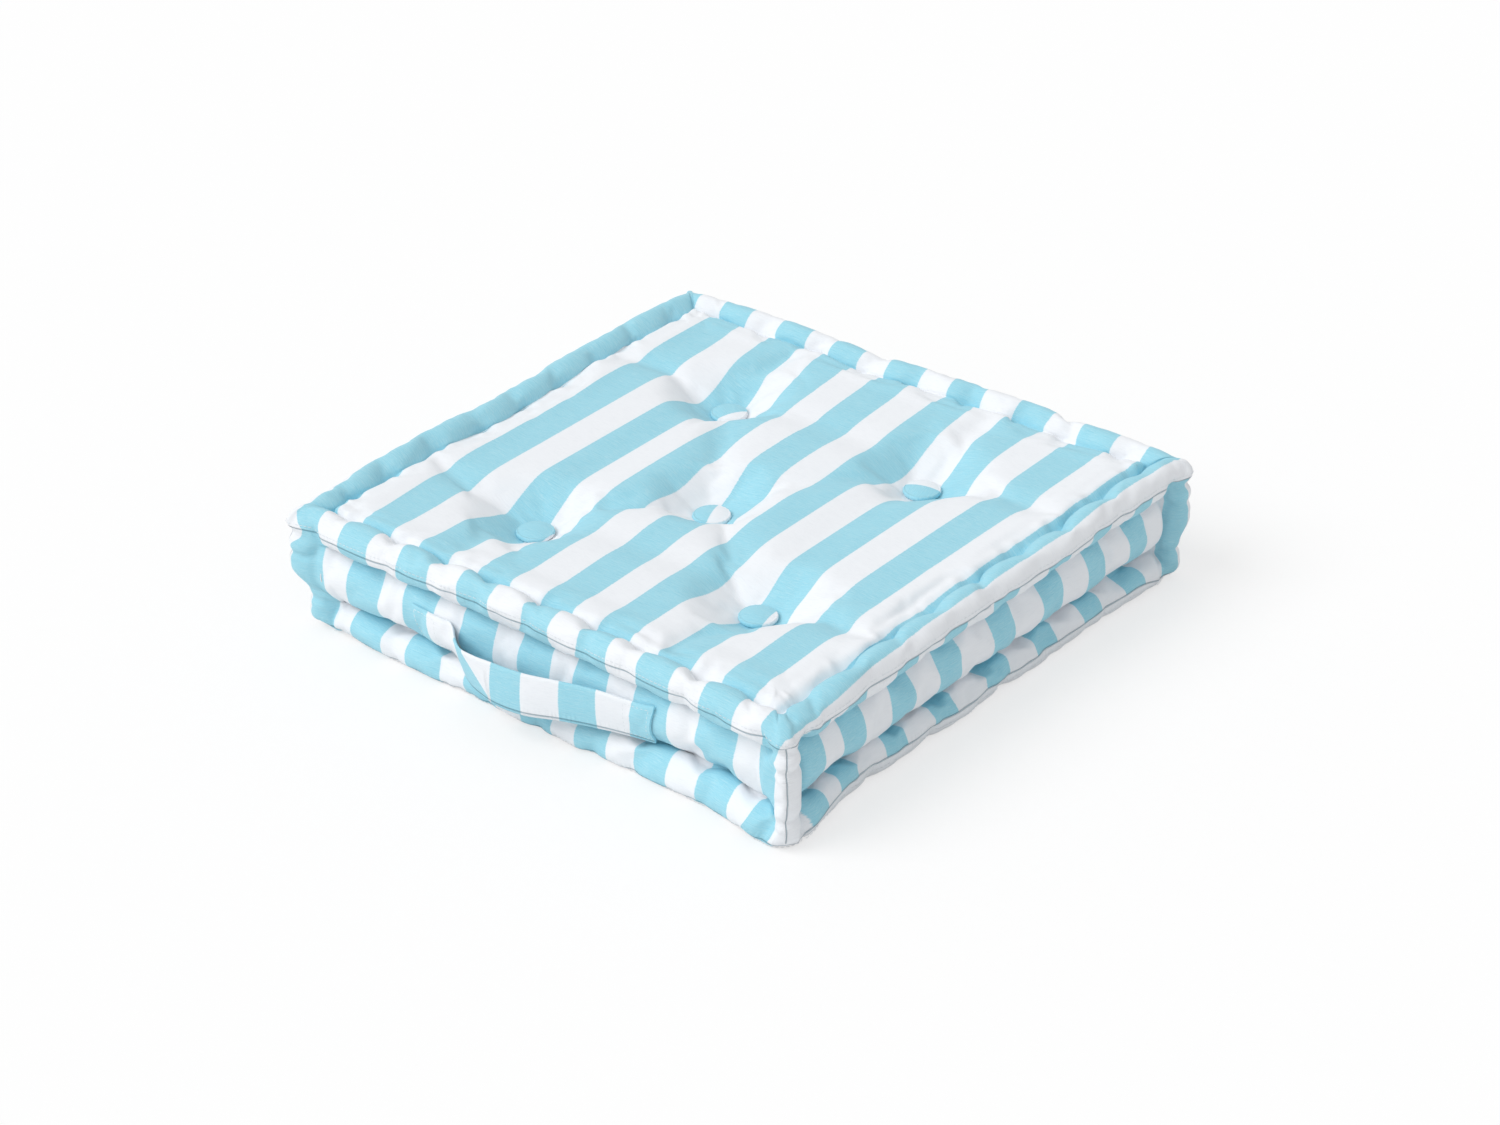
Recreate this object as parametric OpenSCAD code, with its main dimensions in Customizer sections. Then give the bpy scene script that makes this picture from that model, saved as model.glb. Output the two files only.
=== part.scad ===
// Square boxed floor cushion with rolled, tufted edges and one carrying handle.
// +Z is up and the cushion rests on z = 0. X runs along the handle side, which faces -Y.
// The origin lies on the floor, midway across the cushion and its handle together.

/* [Cushion] */
// Width and depth of the square cushion, over its edge rolls
cushion_side = 500; // [460:5:560]
// Height over the edge rolls
cushion_height = 104; // [100:1:120]
// Thickness of the cotton canvas
cloth = 1; // [0.8:0.1:1.2]
// How far the top field lies below the crest of the edge rolls
field_drop = 1; // [0:1:6]
// Radius of the field's edge, where it dips to the stitched groove
field_edge_r = 11; // [9:0.5:12]
// Clearance between the cover and the stuffing, and between masses of stuffing
stuffing_gap = 0.3; // [0.2:0.1:0.5]

/* [Edge rolls] */
// Diameter of the rolled edges round the top and the bottom
roll_d = 26; // [24:1:27]
// Diameter of the upright rolls at the four corners
corner_roll_d = 25; // [22:0.5:25]
// How far a roll and the field's edge bite into each other at the groove
groove_bite = 1; // [0.5:0.25:2]
// Depth of the stitched grooves in the wall, measured from the rolls' outer face
wall_groove_depth = 22; // [19:1:23]
// How far the fullest line of the wall lies inside the rolls' outer face
wall_setback = 7; // [5:1:9]
// Radius of the wall's bulge between its two grooves
wall_bulge_r = 30; // [28:1:31]
// Height of the seam between the bottom panel and the walls
bottom_seam_z = 5; // [4:0.5:6]
// How far below the centre line of the top roll its seam lies
top_seam_drop = 7; // [5:0.5:8]

/* [Tufting] */
// Distance between the left and right buttons
tuft_pitch_x = 214; // [190:2:230]
// Distance between the front and back buttons
tuft_pitch_y = 236; // [210:2:250]
// Depth of the top dimples
top_dimple_depth = 27; // [16:1:30]
// Depth of the bottom dimples, which hide the buttons under the cushion
bottom_dimple_depth = 20; // [14:1:22]
// Radius of a dimple where it runs out into the field
dimple_r = 62; // [45:1:65]
// Radius of the flat seat under a button
dimple_seat_r = 13; // [10:1:15]
// Radius of the needle hole through cloth and stuffing
twine_hole_r = 3.2; // [3.2:0.1:4]
// Diameter of the tufting twine
twine_d = 1.6; // [1.2:0.1:1.8]
// Slack between the twine and the button's wire loop
twine_slack = 0.3; // [0.2:0.1:0.3]

/* [Buttons] */
// Diameter of a covered button
button_d = 30; // [26:1:34]
// Height of a covered button, without its loop
button_height = 6.5; // [6:0.1:8]
// Radius of the button's rounded rim
button_rim_r = 2; // [1.8:0.1:2.2]
// Thickness of the cloth stretched over the button
button_cloth = 0.7; // [0.5:0.1:0.8]
// Thickness of the button's pressed metal shell
button_shell = 0.6; // [0.4:0.1:0.7]
// Thickness of the button's back plate
back_plate = 1.2; // [1:0.1:1.6]
// Width of the cloth lip turned in under the button
button_lip = 2; // [1.5:0.25:2.5]
// Diameter of the wire of the button's loop
loop_wire_d = 1.4; // [1.2:0.1:1.4]
// Half the distance between the legs of the loop
loop_half_width = 2; // [1.9:0.05:2.1]
// Length of the legs of the loop
loop_leg = 3.5; // [3.4:0.1:4.5]
// Gap between a button and the cloth it is pulled down on
button_gap = 0.3; // [0.2:0.1:0.5]

/* [Handle] */
// Length of the handle from one sewn end to the other
handle_length = 240; // [210:5:260]
// How far the middle of the handle lies to the left of the cushion's middle
handle_offset = 6; // [0:1:10]
// Width of the strap
handle_width = 36; // [30:1:40]
// Thickness of the folded and stitched strap
handle_thickness = 2.4; // [2:0.1:3]
// How far the strap stands out beyond the edge rolls
handle_reach = 20; // [14:1:26]
// Least clear height between the bottom roll and the strap's lower edge
handle_lift = 1.5; // [1:0.5:4]
// How far the strap's middle line lies below the middle of the wall
handle_drop = 6.5; // [4:0.5:10]
// Length of each end that is sewn flat to the wall
patch_length = 22; // [18:1:28]
// Length of the gentle rise from the right end
rise_right = 92; // [70:1:100]
// Length of the short, steep rise from the left end
rise_left = 29; // [25:1:40]
// Gap between the free span and its sewn ends, where the cloth flexes
flex_gap = 0.4; // [0.3:0.1:0.5]

/* [Stitching] */
// Distance between the stitches that pinch the rolls
pinch_pitch = 50; // [40:1:54]
// Length of a pinch stitch
pinch_length = 7; // [5:0.5:9]
// Diameter of the doubled thread in the grooves
pinch_thread_d = 1.2; // [0.9:0.1:1.4]
// Gap between a thread and the cloth it lies on
thread_gap = 0.1; // [0.05:0.05:0.2]
// Length of a stitch on the handle's sewn ends
box_stitch = 2.6; // [2:0.1:3]
// Distance from one handle stitch to the next
box_pitch = 4; // [3.6:0.1:5]
// Distance from the handle stitches to the strap's edges
box_inset = 4; // [3:0.5:5]
// Diameter of the handle's sewing thread
box_thread_d = 0.6; // [0.4:0.1:0.8]

/* [Hidden] */
$fn = 72;
half = cushion_side / 2;
body_y = handle_reach / 2;
roll_r = roll_d / 2;
mid_z = cushion_height / 2;
top_roll_z = cushion_height - roll_r;
field_z = cushion_height - field_drop;
roll_x = half - roll_r;
field_x = roll_x - roll_r - field_edge_r + groove_bite;
wall_x = half - wall_setback - wall_bulge_r;
neck_x = half - wall_groove_depth;
corner_roll_r = corner_roll_d / 2;
top_seam_z = top_roll_z - top_seam_drop;
inner = cloth + stuffing_gap;
far = cushion_side;
eps = 0.01;

// Each side is numbered by its quarter turns anticlockwise from +X
right_steps = 0;
back_steps = 1;
left_steps = 2;
front_steps = 3;

// Hand tufting leaves each button a little off its mark: front left, back left, middle, back right, front right
tuft_marks = [[-1, -1], [-1, 1], [0, 0], [1, 1], [1, -1]];
tuft_wander = [[0, -1], [-5, 5], [-16, -17], [-19, -4], [1, 3]];
function tuft(i) = [
    tuft_marks[i][0] * tuft_pitch_x / 2 + tuft_wander[i][0],
    tuft_marks[i][1] * tuft_pitch_y / 2 + tuft_wander[i][1]
];

dome_rise = button_height - 2 * button_rim_r;
dome_r = (pow(button_d / 2 - button_rim_r, 2) + dome_rise * dome_rise) / (2 * dome_rise);
rim_x = button_d / 2 - button_rim_r;
shell_gap = 0.1;
back_r = rim_x - button_lip - shell_gap;
loop_r = loop_wire_d / 2;
twine_r = twine_d / 2;
top_seat_z = field_z - top_dimple_depth;
bottom_seat_z = bottom_dimple_depth;
loop_drop = loop_leg + loop_half_width;
twine_top_z = top_seat_z + button_gap - loop_drop;
twine_bottom_z = bottom_seat_z - button_gap + loop_drop;
twine_half_gap = loop_r + twine_slack + twine_r;

handle_z = max(roll_d + handle_lift + handle_width / 2, mid_z - handle_drop);
handle_left_x = -handle_offset - handle_length / 2;
handle_right_x = -handle_offset + handle_length / 2;
strap_right_x = handle_right_x - patch_length - flex_gap;
strap_left_x = handle_left_x + patch_length + flex_gap;
strap_inner_r = half + handle_reach - handle_thickness;
strap_stations = 30;
strap_rows = 7;

// Half of the cushion's cross-section, drawn as distance from the middle and height, shrunk by o
module field_section(o) {
    translate([0, o]) square([field_x, field_z - 2 * o]);
    translate([field_x, field_z - field_edge_r]) circle(r = field_edge_r - o);
    translate([field_x, field_edge_r]) circle(r = field_edge_r - o);
    translate([0, roll_r]) square([neck_x - o, top_roll_z - roll_r]);
    translate([wall_x, mid_z]) circle(r = wall_bulge_r - o);
}

module roll_section(z, r) {
    translate([roll_x, z]) circle(r = r);
}

module section(o) {
    field_section(o);
    roll_section(top_roll_z, roll_r - o);
    roll_section(roll_r, roll_r - o);
}

module cloth_section() {
    difference() {
        section(0);
        section(cloth);
    }
}

// A section drawn out along one side
module along(side, length) {
    rotate([0, 0, 90 * side]) rotate([90, 0, 0])
        linear_extrude(height = length, center = true) children();
}

// The quarter of the cushion that belongs to one side, cut at its two mitres
module quarter(side) {
    rotate([0, 0, 90 * side]) translate([0, 0, -far / 2])
        linear_extrude(height = far) polygon([[0, 0], [far, -far], [far, far]]);
}

module mitred(side) {
    intersection() {
        along(side, 2 * half + far / 4) children();
        quarter(side);
    }
}

module all_round() {
    for (side = [0:3]) mitred(side) children();
}

module corner_post(side, r, low, high) {
    rotate([0, 0, 90 * side]) translate([roll_x, roll_x, low]) cylinder(r = r, h = high - low);
}

// The bell of a dimple: level seat, then a smooth flare up to the field
dimple_steps = 12;
function dimple_point(t, depth, z, shift) = [
    dimple_seat_r + t * (dimple_r - dimple_seat_r),
    z - depth * (1 + cos(180 * t)) / 2 - shift
];
function dimple_curve(depth, z, shift) = concat(
    [[0, z - depth - shift]],
    [for (i = [0:dimple_steps]) dimple_point(i / dimple_steps, depth, z, shift)]
);

module dimple_void(depth, z, shift) {
    rotate_extrude() polygon(concat(
        dimple_curve(depth, z, shift),
        [[dimple_r, z + roll_r], [0, z + roll_r]]
    ));
}

module dimple_cloth(depth, z) {
    upper = dimple_curve(depth, z, 0);
    lower = dimple_curve(depth, z, cloth);
    last = len(lower) - 1;
    rotate_extrude() polygon(concat(upper, [for (i = [0:last]) lower[last - i]]));
}

// A cover panel's flat field with its five dimples and needle holes, drawn face up at height z
module dimpled(depth, z) {
    difference() {
        union() {
            difference() {
                children();
                for (i = [0:4]) translate(tuft(i)) translate([0, 0, z - roll_r])
                    cylinder(r = dimple_r, h = 2 * roll_r);
            }
            for (i = [0:4]) translate(tuft(i)) dimple_cloth(depth, z);
        }
        for (i = [0:4]) translate(tuft(i)) translate([0, 0, z - depth - roll_r])
            cylinder(r = twine_hole_r, h = 2 * roll_r);
    }
}

module flip(z) {
    translate([0, 0, z]) mirror([0, 0, 1]) children();
}

// The cover panels reach to their seams outside the rolls and take the whole of each inner groove
module top_region() {
    translate([roll_x, top_seam_z]) square([far, cushion_height]);
    translate([-eps, top_roll_z - eps]) square([far, cushion_height]);
}

module bottom_region() {
    translate([-eps, -cushion_height]) square([far, cushion_height + bottom_seam_z]);
    translate([-eps, -cushion_height]) square([roll_x, cushion_height + roll_r]);
}

module top_panel() {
    color("skyblue") translate([0, body_y, 0]) dimpled(top_dimple_depth, field_z)
        all_round() intersection() {
            cloth_section();
            top_region();
        }
}

module bottom_panel() {
    color("skyblue") translate([0, body_y, 0]) flip(0) dimpled(bottom_dimple_depth, 0)
        flip(0) all_round() intersection() {
            cloth_section();
            bottom_region();
        }
}

// One wall of the box with half of the upright roll at each of its ends
module wall_panel(side) {
    color("paleturquoise") translate([0, body_y, 0]) difference() {
        intersection() {
            union() {
                along(side, 2 * half + far / 4) section(0);
                for (end = [side, side + 3]) corner_post(end, corner_roll_r, roll_r, top_roll_z);
            }
            quarter(side);
            along(side, 2 * half + far / 8) difference() {
                translate([far / 4, 0]) square([far, top_seam_z]);
                bottom_region();
            }
        }
        along(side, 2 * half + far / 2) section(cloth);
        for (end = [side, side + 3]) corner_post(end, corner_roll_r - cloth, roll_r, top_roll_z);
    }
}

module filling_core() {
    color("white") translate([0, body_y, 0]) difference() {
        all_round() difference() {
            field_section(inner);
            roll_section(top_roll_z, roll_r - cloth);
            roll_section(roll_r, roll_r - cloth);
        }
        for (side = [0:3]) corner_post(side, corner_roll_r - cloth, roll_r, top_roll_z);
        for (i = [0:4]) translate(tuft(i)) {
            dimple_void(top_dimple_depth, field_z, inner);
            flip(0) dimple_void(bottom_dimple_depth, 0, inner);
            cylinder(r = twine_hole_r, h = cushion_height);
        }
    }
}

module roll_filling(z) {
    color("white") translate([0, body_y, 0]) all_round() roll_section(z, roll_r - inner);
}

module corner_filling(side) {
    color("white") translate([0, body_y, 0])
        corner_post(side, corner_roll_r - inner, roll_d - cloth, cushion_height - roll_d + cloth);
}

// A button is drawn with its underside at z = 0; the top ones face up and the bottom ones face down
module button_place(i, up) {
    translate([0, body_y, 0]) translate(tuft(i)) {
        if (up) translate([0, 0, top_seat_z + button_gap]) children();
        if (!up) flip(bottom_seat_z - button_gap) children();
    }
}

module button_section(o) {
    translate([rim_x, button_rim_r]) circle(r = button_rim_r - o);
    translate([0, o]) square([rim_x, 2 * button_rim_r - 2 * o]);
    intersection() {
        translate([0, button_height - dome_r]) circle(r = dome_r - o);
        translate([0, button_rim_r]) square([rim_x, button_height]);
    }
}

module button_cup(outside, thickness, mouth_r) {
    difference() {
        rotate_extrude() difference() {
            intersection() {
                button_section(outside);
                square([button_d, button_height]);
            }
            button_section(outside + thickness);
        }
        translate([0, 0, -eps]) cylinder(r = mouth_r, h = button_rim_r);
    }
}

module button_cover(i, up) {
    color("turquoise") button_place(i, up) button_cup(0, button_cloth, rim_x - button_lip);
}

module button_shell(i, up) {
    color("silver") button_place(i, up)
        button_cup(button_cloth + shell_gap, button_shell, rim_x - button_lip);
}

module button_back(i, up) {
    color("gray") button_place(i, up) {
        cylinder(r = back_r, h = back_plate);
        for (x = [-loop_half_width, loop_half_width]) translate([x, 0, -loop_leg])
            cylinder(r = loop_r, h = loop_leg + back_plate / 2);
        translate([0, 0, -loop_leg]) rotate([-90, 0, 0]) rotate_extrude(angle = 180)
            translate([loop_half_width, 0]) circle(r = loop_r);
    }
}

// Twine looped through the wire loop of the top button and of the bottom button
module tufting_twine(i) {
    color("ivory") translate([0, body_y, 0]) translate(tuft(i)) {
        for (y = [-twine_half_gap, twine_half_gap]) translate([0, y, twine_bottom_z])
            cylinder(r = twine_r, h = twine_top_z - twine_bottom_z);
        translate([0, 0, twine_top_z]) rotate([90, 0, 90]) rotate_extrude(angle = 180)
            translate([twine_half_gap, 0]) circle(r = twine_r);
        translate([0, 0, twine_bottom_z]) rotate([-90, 0, 90]) rotate_extrude(angle = 180)
            translate([twine_half_gap, 0]) circle(r = twine_r);
    }
}

// Outer face of the bulging wall at height z, with the strap's sewing gap added
face_r = wall_bulge_r + stuffing_gap;
function wall_face(z) = wall_x + sqrt(pow(face_r, 2) - pow(z - mid_z, 2));
function ease(t) = t * t * (3 - 2 * t);
function unit(t) = min(1, max(0, t));
function stand_off(x) = min(
    ease(unit((strap_right_x - x) / rise_right)),
    ease(unit((x - strap_left_x) / rise_left))
);
function strap_point(x, z, skin) = [
    x,
    body_y - skin - wall_face(z) - stand_off(x) * (strap_inner_r - wall_face(z)),
    z
];
// The strap's rows of points lie at equal steps round the bulge, from its lower edge to its upper one
low_angle = asin((handle_z - handle_width / 2 - mid_z) / face_r);
high_angle = asin((handle_z + handle_width / 2 - mid_z) / face_r);
function row_z(j) = mid_z + face_r * sin(low_angle + (high_angle - low_angle) * j / strap_rows);
function strap_ring(x) = concat(
    [for (j = [0:strap_rows]) strap_point(x, row_z(j), 0)],
    [for (j = [0:strap_rows]) strap_point(x, row_z(strap_rows - j), handle_thickness)]
);

module handle_strap() {
    ring = 2 * (strap_rows + 1);
    points = [
        for (i = [0:strap_stations])
            each strap_ring(strap_left_x + (strap_right_x - strap_left_x) * i / strap_stations)
    ];
    sides = [
        for (i = [0:strap_stations - 1], j = [0:ring - 1])
            [i * ring + j, i * ring + (j + 1) % ring, (i + 1) * ring + (j + 1) % ring, (i + 1) * ring + j]
    ];
    ends = [
        for (j = [0:strap_rows - 1]) each [
            [ring - 1 - j, ring - 2 - j, j + 1, j],
            [for (k = [j, j + 1, ring - 2 - j, ring - 1 - j]) strap_stations * ring + k]
        ]
    ];
    color("turquoise") polyhedron(points = points, faces = concat(sides, ends), convexity = 4);
}

// A sewn end lies flat on the wall and follows its bulge
module handle_end(x) {
    color("turquoise") translate([x, body_y, 0]) intersection() {
        along(front_steps, patch_length) difference() {
            translate([wall_x, mid_z]) circle(r = face_r + handle_thickness);
            translate([wall_x, mid_z]) circle(r = face_r);
        }
        translate([-far / 2, -wall_x - far, handle_z - handle_width / 2]) cube([far, far, handle_width]);
    }
}

// Box of stitches round a sewn end, each one laid on the strap's outer face
box_z_count = floor((handle_width - 2 * box_inset) / box_pitch);
box_x_count = floor((patch_length - 2 * box_inset) / box_pitch);
box_r = face_r + handle_thickness + thread_gap + box_thread_d / 2;
function wall_angle(z) = asin((z - mid_z) / box_r);

module box_stitch_at(x, z, upright) {
    translate([x, body_y - wall_x, mid_z]) rotate([-wall_angle(z), 0, 0])
        translate([0, -box_r, 0]) rotate(upright ? [0, 0, 0] : [0, 90, 0])
            cylinder(d = box_thread_d, h = box_stitch, center = true);
}

module handle_stitching(x) {
    low = handle_z - box_z_count * box_pitch / 2;
    left = x - box_x_count * box_pitch / 2;
    right = x + box_x_count * box_pitch / 2;
    color("lightcyan") {
        for (i = [0:box_z_count - 1], side = [left, right])
            box_stitch_at(side, low + (i + 0.5) * box_pitch, true);
        for (i = [0:box_x_count - 1], z = [low, low + box_z_count * box_pitch])
            box_stitch_at(left + (i + 0.5) * box_pitch, z, false);
    }
}

// Pinch stitches stand in rows along a groove; place is their distance from the middle and height
pinch_side_count = floor(roll_x / pinch_pitch);
thread_seat = thread_gap + pinch_thread_d / 2;
function crotch(rise) =
    let (dx = roll_x - field_x, dz = rise, d = sqrt(dx * dx + dz * dz),
        r1 = roll_r + thread_seat, r2 = field_edge_r + thread_seat,
        a = (r1 * r1 - r2 * r2 + d * d) / (2 * d), h = sqrt(r1 * r1 - a * a))
    [roll_x - (a * dx + h * dz) / d, (h * dx - a * dz) / d];

module pinch_row(place) {
    color("aliceblue") translate([0, body_y, 0])
        for (side = [0:3], i = [-pinch_side_count:pinch_side_count])
            if (abs(i * pinch_pitch) + pinch_length / 2 < field_x)
                rotate([0, 0, 90 * side]) translate([place[0], i * pinch_pitch, place[1]])
                    rotate([90, 0, 0]) cylinder(d = pinch_thread_d, h = pinch_length, center = true);
}

module top_groove_stitches() {
    rise = top_roll_z - (field_z - field_edge_r);
    pinch_row([crotch(rise)[0], top_roll_z + crotch(rise)[1]]);
}

module bottom_groove_stitches() {
    rise = field_edge_r - roll_r;
    pinch_row([crotch(rise)[0], roll_r - crotch(rise)[1]]);
}

// Middle of the groove between a roll and the wall's bulge
groove_roll_z = top_roll_z - sqrt(pow(roll_r, 2) - pow(roll_x - neck_x, 2));
groove_wall_z = mid_z + sqrt(pow(wall_bulge_r, 2) - pow(neck_x - wall_x, 2));
groove_z = (groove_roll_z + groove_wall_z) / 2;

module upper_wall_stitches() {
    pinch_row([neck_x + thread_seat, groove_z]);
}

module lower_wall_stitches() {
    pinch_row([neck_x + thread_seat, cushion_height - groove_z]);
}

module corner_stitches() {
    out = half - wall_setback + thread_seat;
    reach = corner_roll_r + thread_seat;
    along_wall = roll_x - sqrt(reach * reach - pow(out - roll_x, 2));
    color("aliceblue") translate([0, body_y, 0]) for (side = [0:3], end = [-1, 1])
        rotate([0, 0, 90 * side]) translate([out, end * along_wall, mid_z])
            cylinder(d = pinch_thread_d, h = pinch_length, center = true);
}

top_panel();
bottom_panel();
wall_panel(front_steps);  // front_panel
wall_panel(right_steps);  // right_panel
wall_panel(back_steps);  // back_panel
wall_panel(left_steps);  // left_panel
filling_core();
roll_filling(top_roll_z);  // top_roll_filling
roll_filling(roll_r);  // bottom_roll_filling
corner_filling(left_steps);  // front_left_corner_filling
corner_filling(front_steps);  // front_right_corner_filling
corner_filling(right_steps);  // back_right_corner_filling
corner_filling(back_steps);  // back_left_corner_filling
button_cover(0, true);  // top_button_1_cover
button_shell(0, true);  // top_button_1_shell
button_back(0, true);  // top_button_1_back
button_cover(1, true);  // top_button_2_cover
button_shell(1, true);  // top_button_2_shell
button_back(1, true);  // top_button_2_back
button_cover(2, true);  // top_button_3_cover
button_shell(2, true);  // top_button_3_shell
button_back(2, true);  // top_button_3_back
button_cover(3, true);  // top_button_4_cover
button_shell(3, true);  // top_button_4_shell
button_back(3, true);  // top_button_4_back
button_cover(4, true);  // top_button_5_cover
button_shell(4, true);  // top_button_5_shell
button_back(4, true);  // top_button_5_back
button_cover(0, false);  // bottom_button_1_cover
button_shell(0, false);  // bottom_button_1_shell
button_back(0, false);  // bottom_button_1_back
button_cover(1, false);  // bottom_button_2_cover
button_shell(1, false);  // bottom_button_2_shell
button_back(1, false);  // bottom_button_2_back
button_cover(2, false);  // bottom_button_3_cover
button_shell(2, false);  // bottom_button_3_shell
button_back(2, false);  // bottom_button_3_back
button_cover(3, false);  // bottom_button_4_cover
button_shell(3, false);  // bottom_button_4_shell
button_back(3, false);  // bottom_button_4_back
button_cover(4, false);  // bottom_button_5_cover
button_shell(4, false);  // bottom_button_5_shell
button_back(4, false);  // bottom_button_5_back
tufting_twine(0);  // tufting_twine_1
tufting_twine(1);  // tufting_twine_2
tufting_twine(2);  // tufting_twine_3
tufting_twine(3);  // tufting_twine_4
tufting_twine(4);  // tufting_twine_5
handle_strap();
handle_end(handle_left_x + patch_length / 2);  // handle_left_end
handle_end(handle_right_x - patch_length / 2);  // handle_right_end
handle_stitching(handle_left_x + patch_length / 2);  // handle_left_stitching
handle_stitching(handle_right_x - patch_length / 2);  // handle_right_stitching
top_groove_stitches();
upper_wall_stitches();
lower_wall_stitches();
bottom_groove_stitches();
corner_stitches();
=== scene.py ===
import math
import bmesh
import bpy
import numpy as np
from mathutils import Matrix, Vector
from mathutils.bvhtree import BVHTree


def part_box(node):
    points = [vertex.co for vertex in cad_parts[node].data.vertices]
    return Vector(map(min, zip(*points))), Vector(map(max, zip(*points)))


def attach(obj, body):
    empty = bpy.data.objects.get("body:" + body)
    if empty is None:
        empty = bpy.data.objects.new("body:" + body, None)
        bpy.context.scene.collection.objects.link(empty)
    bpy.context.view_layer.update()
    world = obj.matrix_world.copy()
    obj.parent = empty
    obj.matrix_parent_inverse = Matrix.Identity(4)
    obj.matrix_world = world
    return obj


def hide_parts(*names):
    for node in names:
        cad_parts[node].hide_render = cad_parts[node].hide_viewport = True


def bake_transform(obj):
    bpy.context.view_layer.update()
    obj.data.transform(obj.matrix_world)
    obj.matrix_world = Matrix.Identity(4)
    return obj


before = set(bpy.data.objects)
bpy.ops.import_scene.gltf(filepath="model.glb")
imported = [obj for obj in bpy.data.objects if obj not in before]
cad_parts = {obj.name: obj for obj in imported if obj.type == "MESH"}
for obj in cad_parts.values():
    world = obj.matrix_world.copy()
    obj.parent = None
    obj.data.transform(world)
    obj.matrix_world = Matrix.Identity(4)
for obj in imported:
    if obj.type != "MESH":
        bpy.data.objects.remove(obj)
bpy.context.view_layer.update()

# ---- Cover shape -------------------------------------------------------
# A box-shaped cotton cover sewn from a top, a bottom and four wall panels, packed with fibre.
# Hand stitching pinches its edges into rolls round the top, the bottom and each upright corner,
# and five tufts draw the top and the bottom together.
top_low, top_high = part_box("top_panel")
half = (top_high.x - top_low.x) / 2
centre_y = (top_high.y + top_low.y) / 2
height = top_high.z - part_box("bottom_panel")[0].z
middle_z = height / 2

roll_r = 0.013
roll_x = half - roll_r
top_roll_z = height - roll_r
field_drop = 0.007
field_z = height - field_drop
field_edge_r = 0.011
field_x = 0.214
wall_inset = 0.007
wall_bulge_r = 0.030
wall_x = half - wall_inset - wall_bulge_r
groove_x = half - 0.0235
groove_drop = 0.0242
corner_reach = 0.2480
# Where the seams and the grooves lie round the rolls' section, in degrees
top_seam_angle = -14
bottom_seam_angle = -38
groove_angle = 133.8
top_inner_angle = 170.4
bottom_inner_angle = -160.5
wall_bulge_angle = 60


def arc(x, z, radius, start, stop, steps):
    """Points of an arc in a section, from start to stop degrees, as distance out and height."""
    angle = np.radians(np.linspace(start, stop, steps + 1))
    return np.column_stack((x + radius * np.cos(angle), z + radius * np.sin(angle)))


def smooth(t):
    t = np.clip(t, 0, 1)
    return t * t * (3 - 2 * t)


def run_length(points):
    """Length along a line of points, from the first to each of them."""
    return np.concatenate(([0], np.cumsum(np.linalg.norm(np.diff(points, axis=0), axis=1))))


def side_section(seam_angle):
    """A side from the top's inner groove over the roll, down the wall and under the bottom roll."""
    return np.vstack((
        arc(roll_x, top_roll_z, roll_r, top_inner_angle, top_seam_angle, 11),
        arc(roll_x, top_roll_z, roll_r, top_seam_angle, -groove_angle, 5)[1:],
        [[groove_x, height - groove_drop]],
        arc(wall_x, middle_z, wall_bulge_r, wall_bulge_angle, -wall_bulge_angle, 12),
        [[groove_x, groove_drop]],
        arc(roll_x, roll_r, roll_r, groove_angle, seam_angle, 9),
        arc(roll_x, roll_r, roll_r, seam_angle, bottom_inner_angle, 7)[1:],
    ))


section = side_section(bottom_seam_angle)
section_length = run_length(section)
top_seam_row = 11
upper_groove_row = 17
lower_groove_row = 31
middle_row = (upper_groove_row + lower_groove_row) // 2
bottom_seam_row = 41
rows = len(section)
outer_rows = (10, 39)

side_steps = 78
corner_steps = 14
columns = side_steps + 2 * corner_steps
ring = 4 * columns
band_count = rows * ring
corner_start = 0.195

# Steps round a corner at which a wall bends and at which it is at the bottom of the upright groove
bend_step = 3
groove_step = 7
groove_columns = (corner_steps - groove_step, columns - corner_steps + groove_step)
groove_flank = 0.013
# Where that groove lies, as distance out and along: start and end of each side
upright_grooves = (
    ((0.2415, 0.2185), (0.2435, 0.2345)),
    ((0.229, 0.2270), (0.232, 0.2300)),
    ((0.230, 0.2240), (0.230, 0.2240)),
    ((0.230, 0.2240), (0.230, 0.2220)),
)
# Heights of the creases that cross the corner rolls, and their size
crease_heights = (0.0665, 0.0265)
crease_depth = 0.0025
crease_width = 0.003
# Radius of each corner's plan at the bottom and the top roll: front left, front right, back right, back left
corner_rounds = ((0.006, 0.004), (0.017, 0.008), (0.006, 0.004), (0.006, 0.004))
# Corner step at which the rolls' lobes begin to fade into the upright roll, at each end of a side
lobe_ends = ((4, 4), (2, 2), (2, 2), (2, 2))
# The bottom roll is tucked in under the wall. The tuck fades towards the corners, or stays in part or whole
bottom_tuck = 0.009
tuck_fades_from = 0.16
tuck_fade = 0.07
tucked_ends = ((1, 0), (0, 0.5), (0.5, 0.5), (0.5, 1))
# How far the corners stand out of square, in x and y: front left, front right, back right, back left
corner_pull = np.array(((-0.0056, 0.0100), (0.0002, -0.0124), (0.0009, 0.0008), (-0.0073, -0.0015)))

# The bottom seam of the right side lies high on its roll, and comes down to its neighbours' at the corners
raised_side = 1
raised_seam_angle = 14


def raised_section(column):
    rise = float(smooth(min(column - 4, columns - 4 - column) / 12))
    return side_section(bottom_seam_angle + (raised_seam_angle - bottom_seam_angle) * rise)


sections = [[section] * columns for _ in range(4)]
sections[raised_side] = [raised_section(column) for column in range(columns)]


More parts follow.
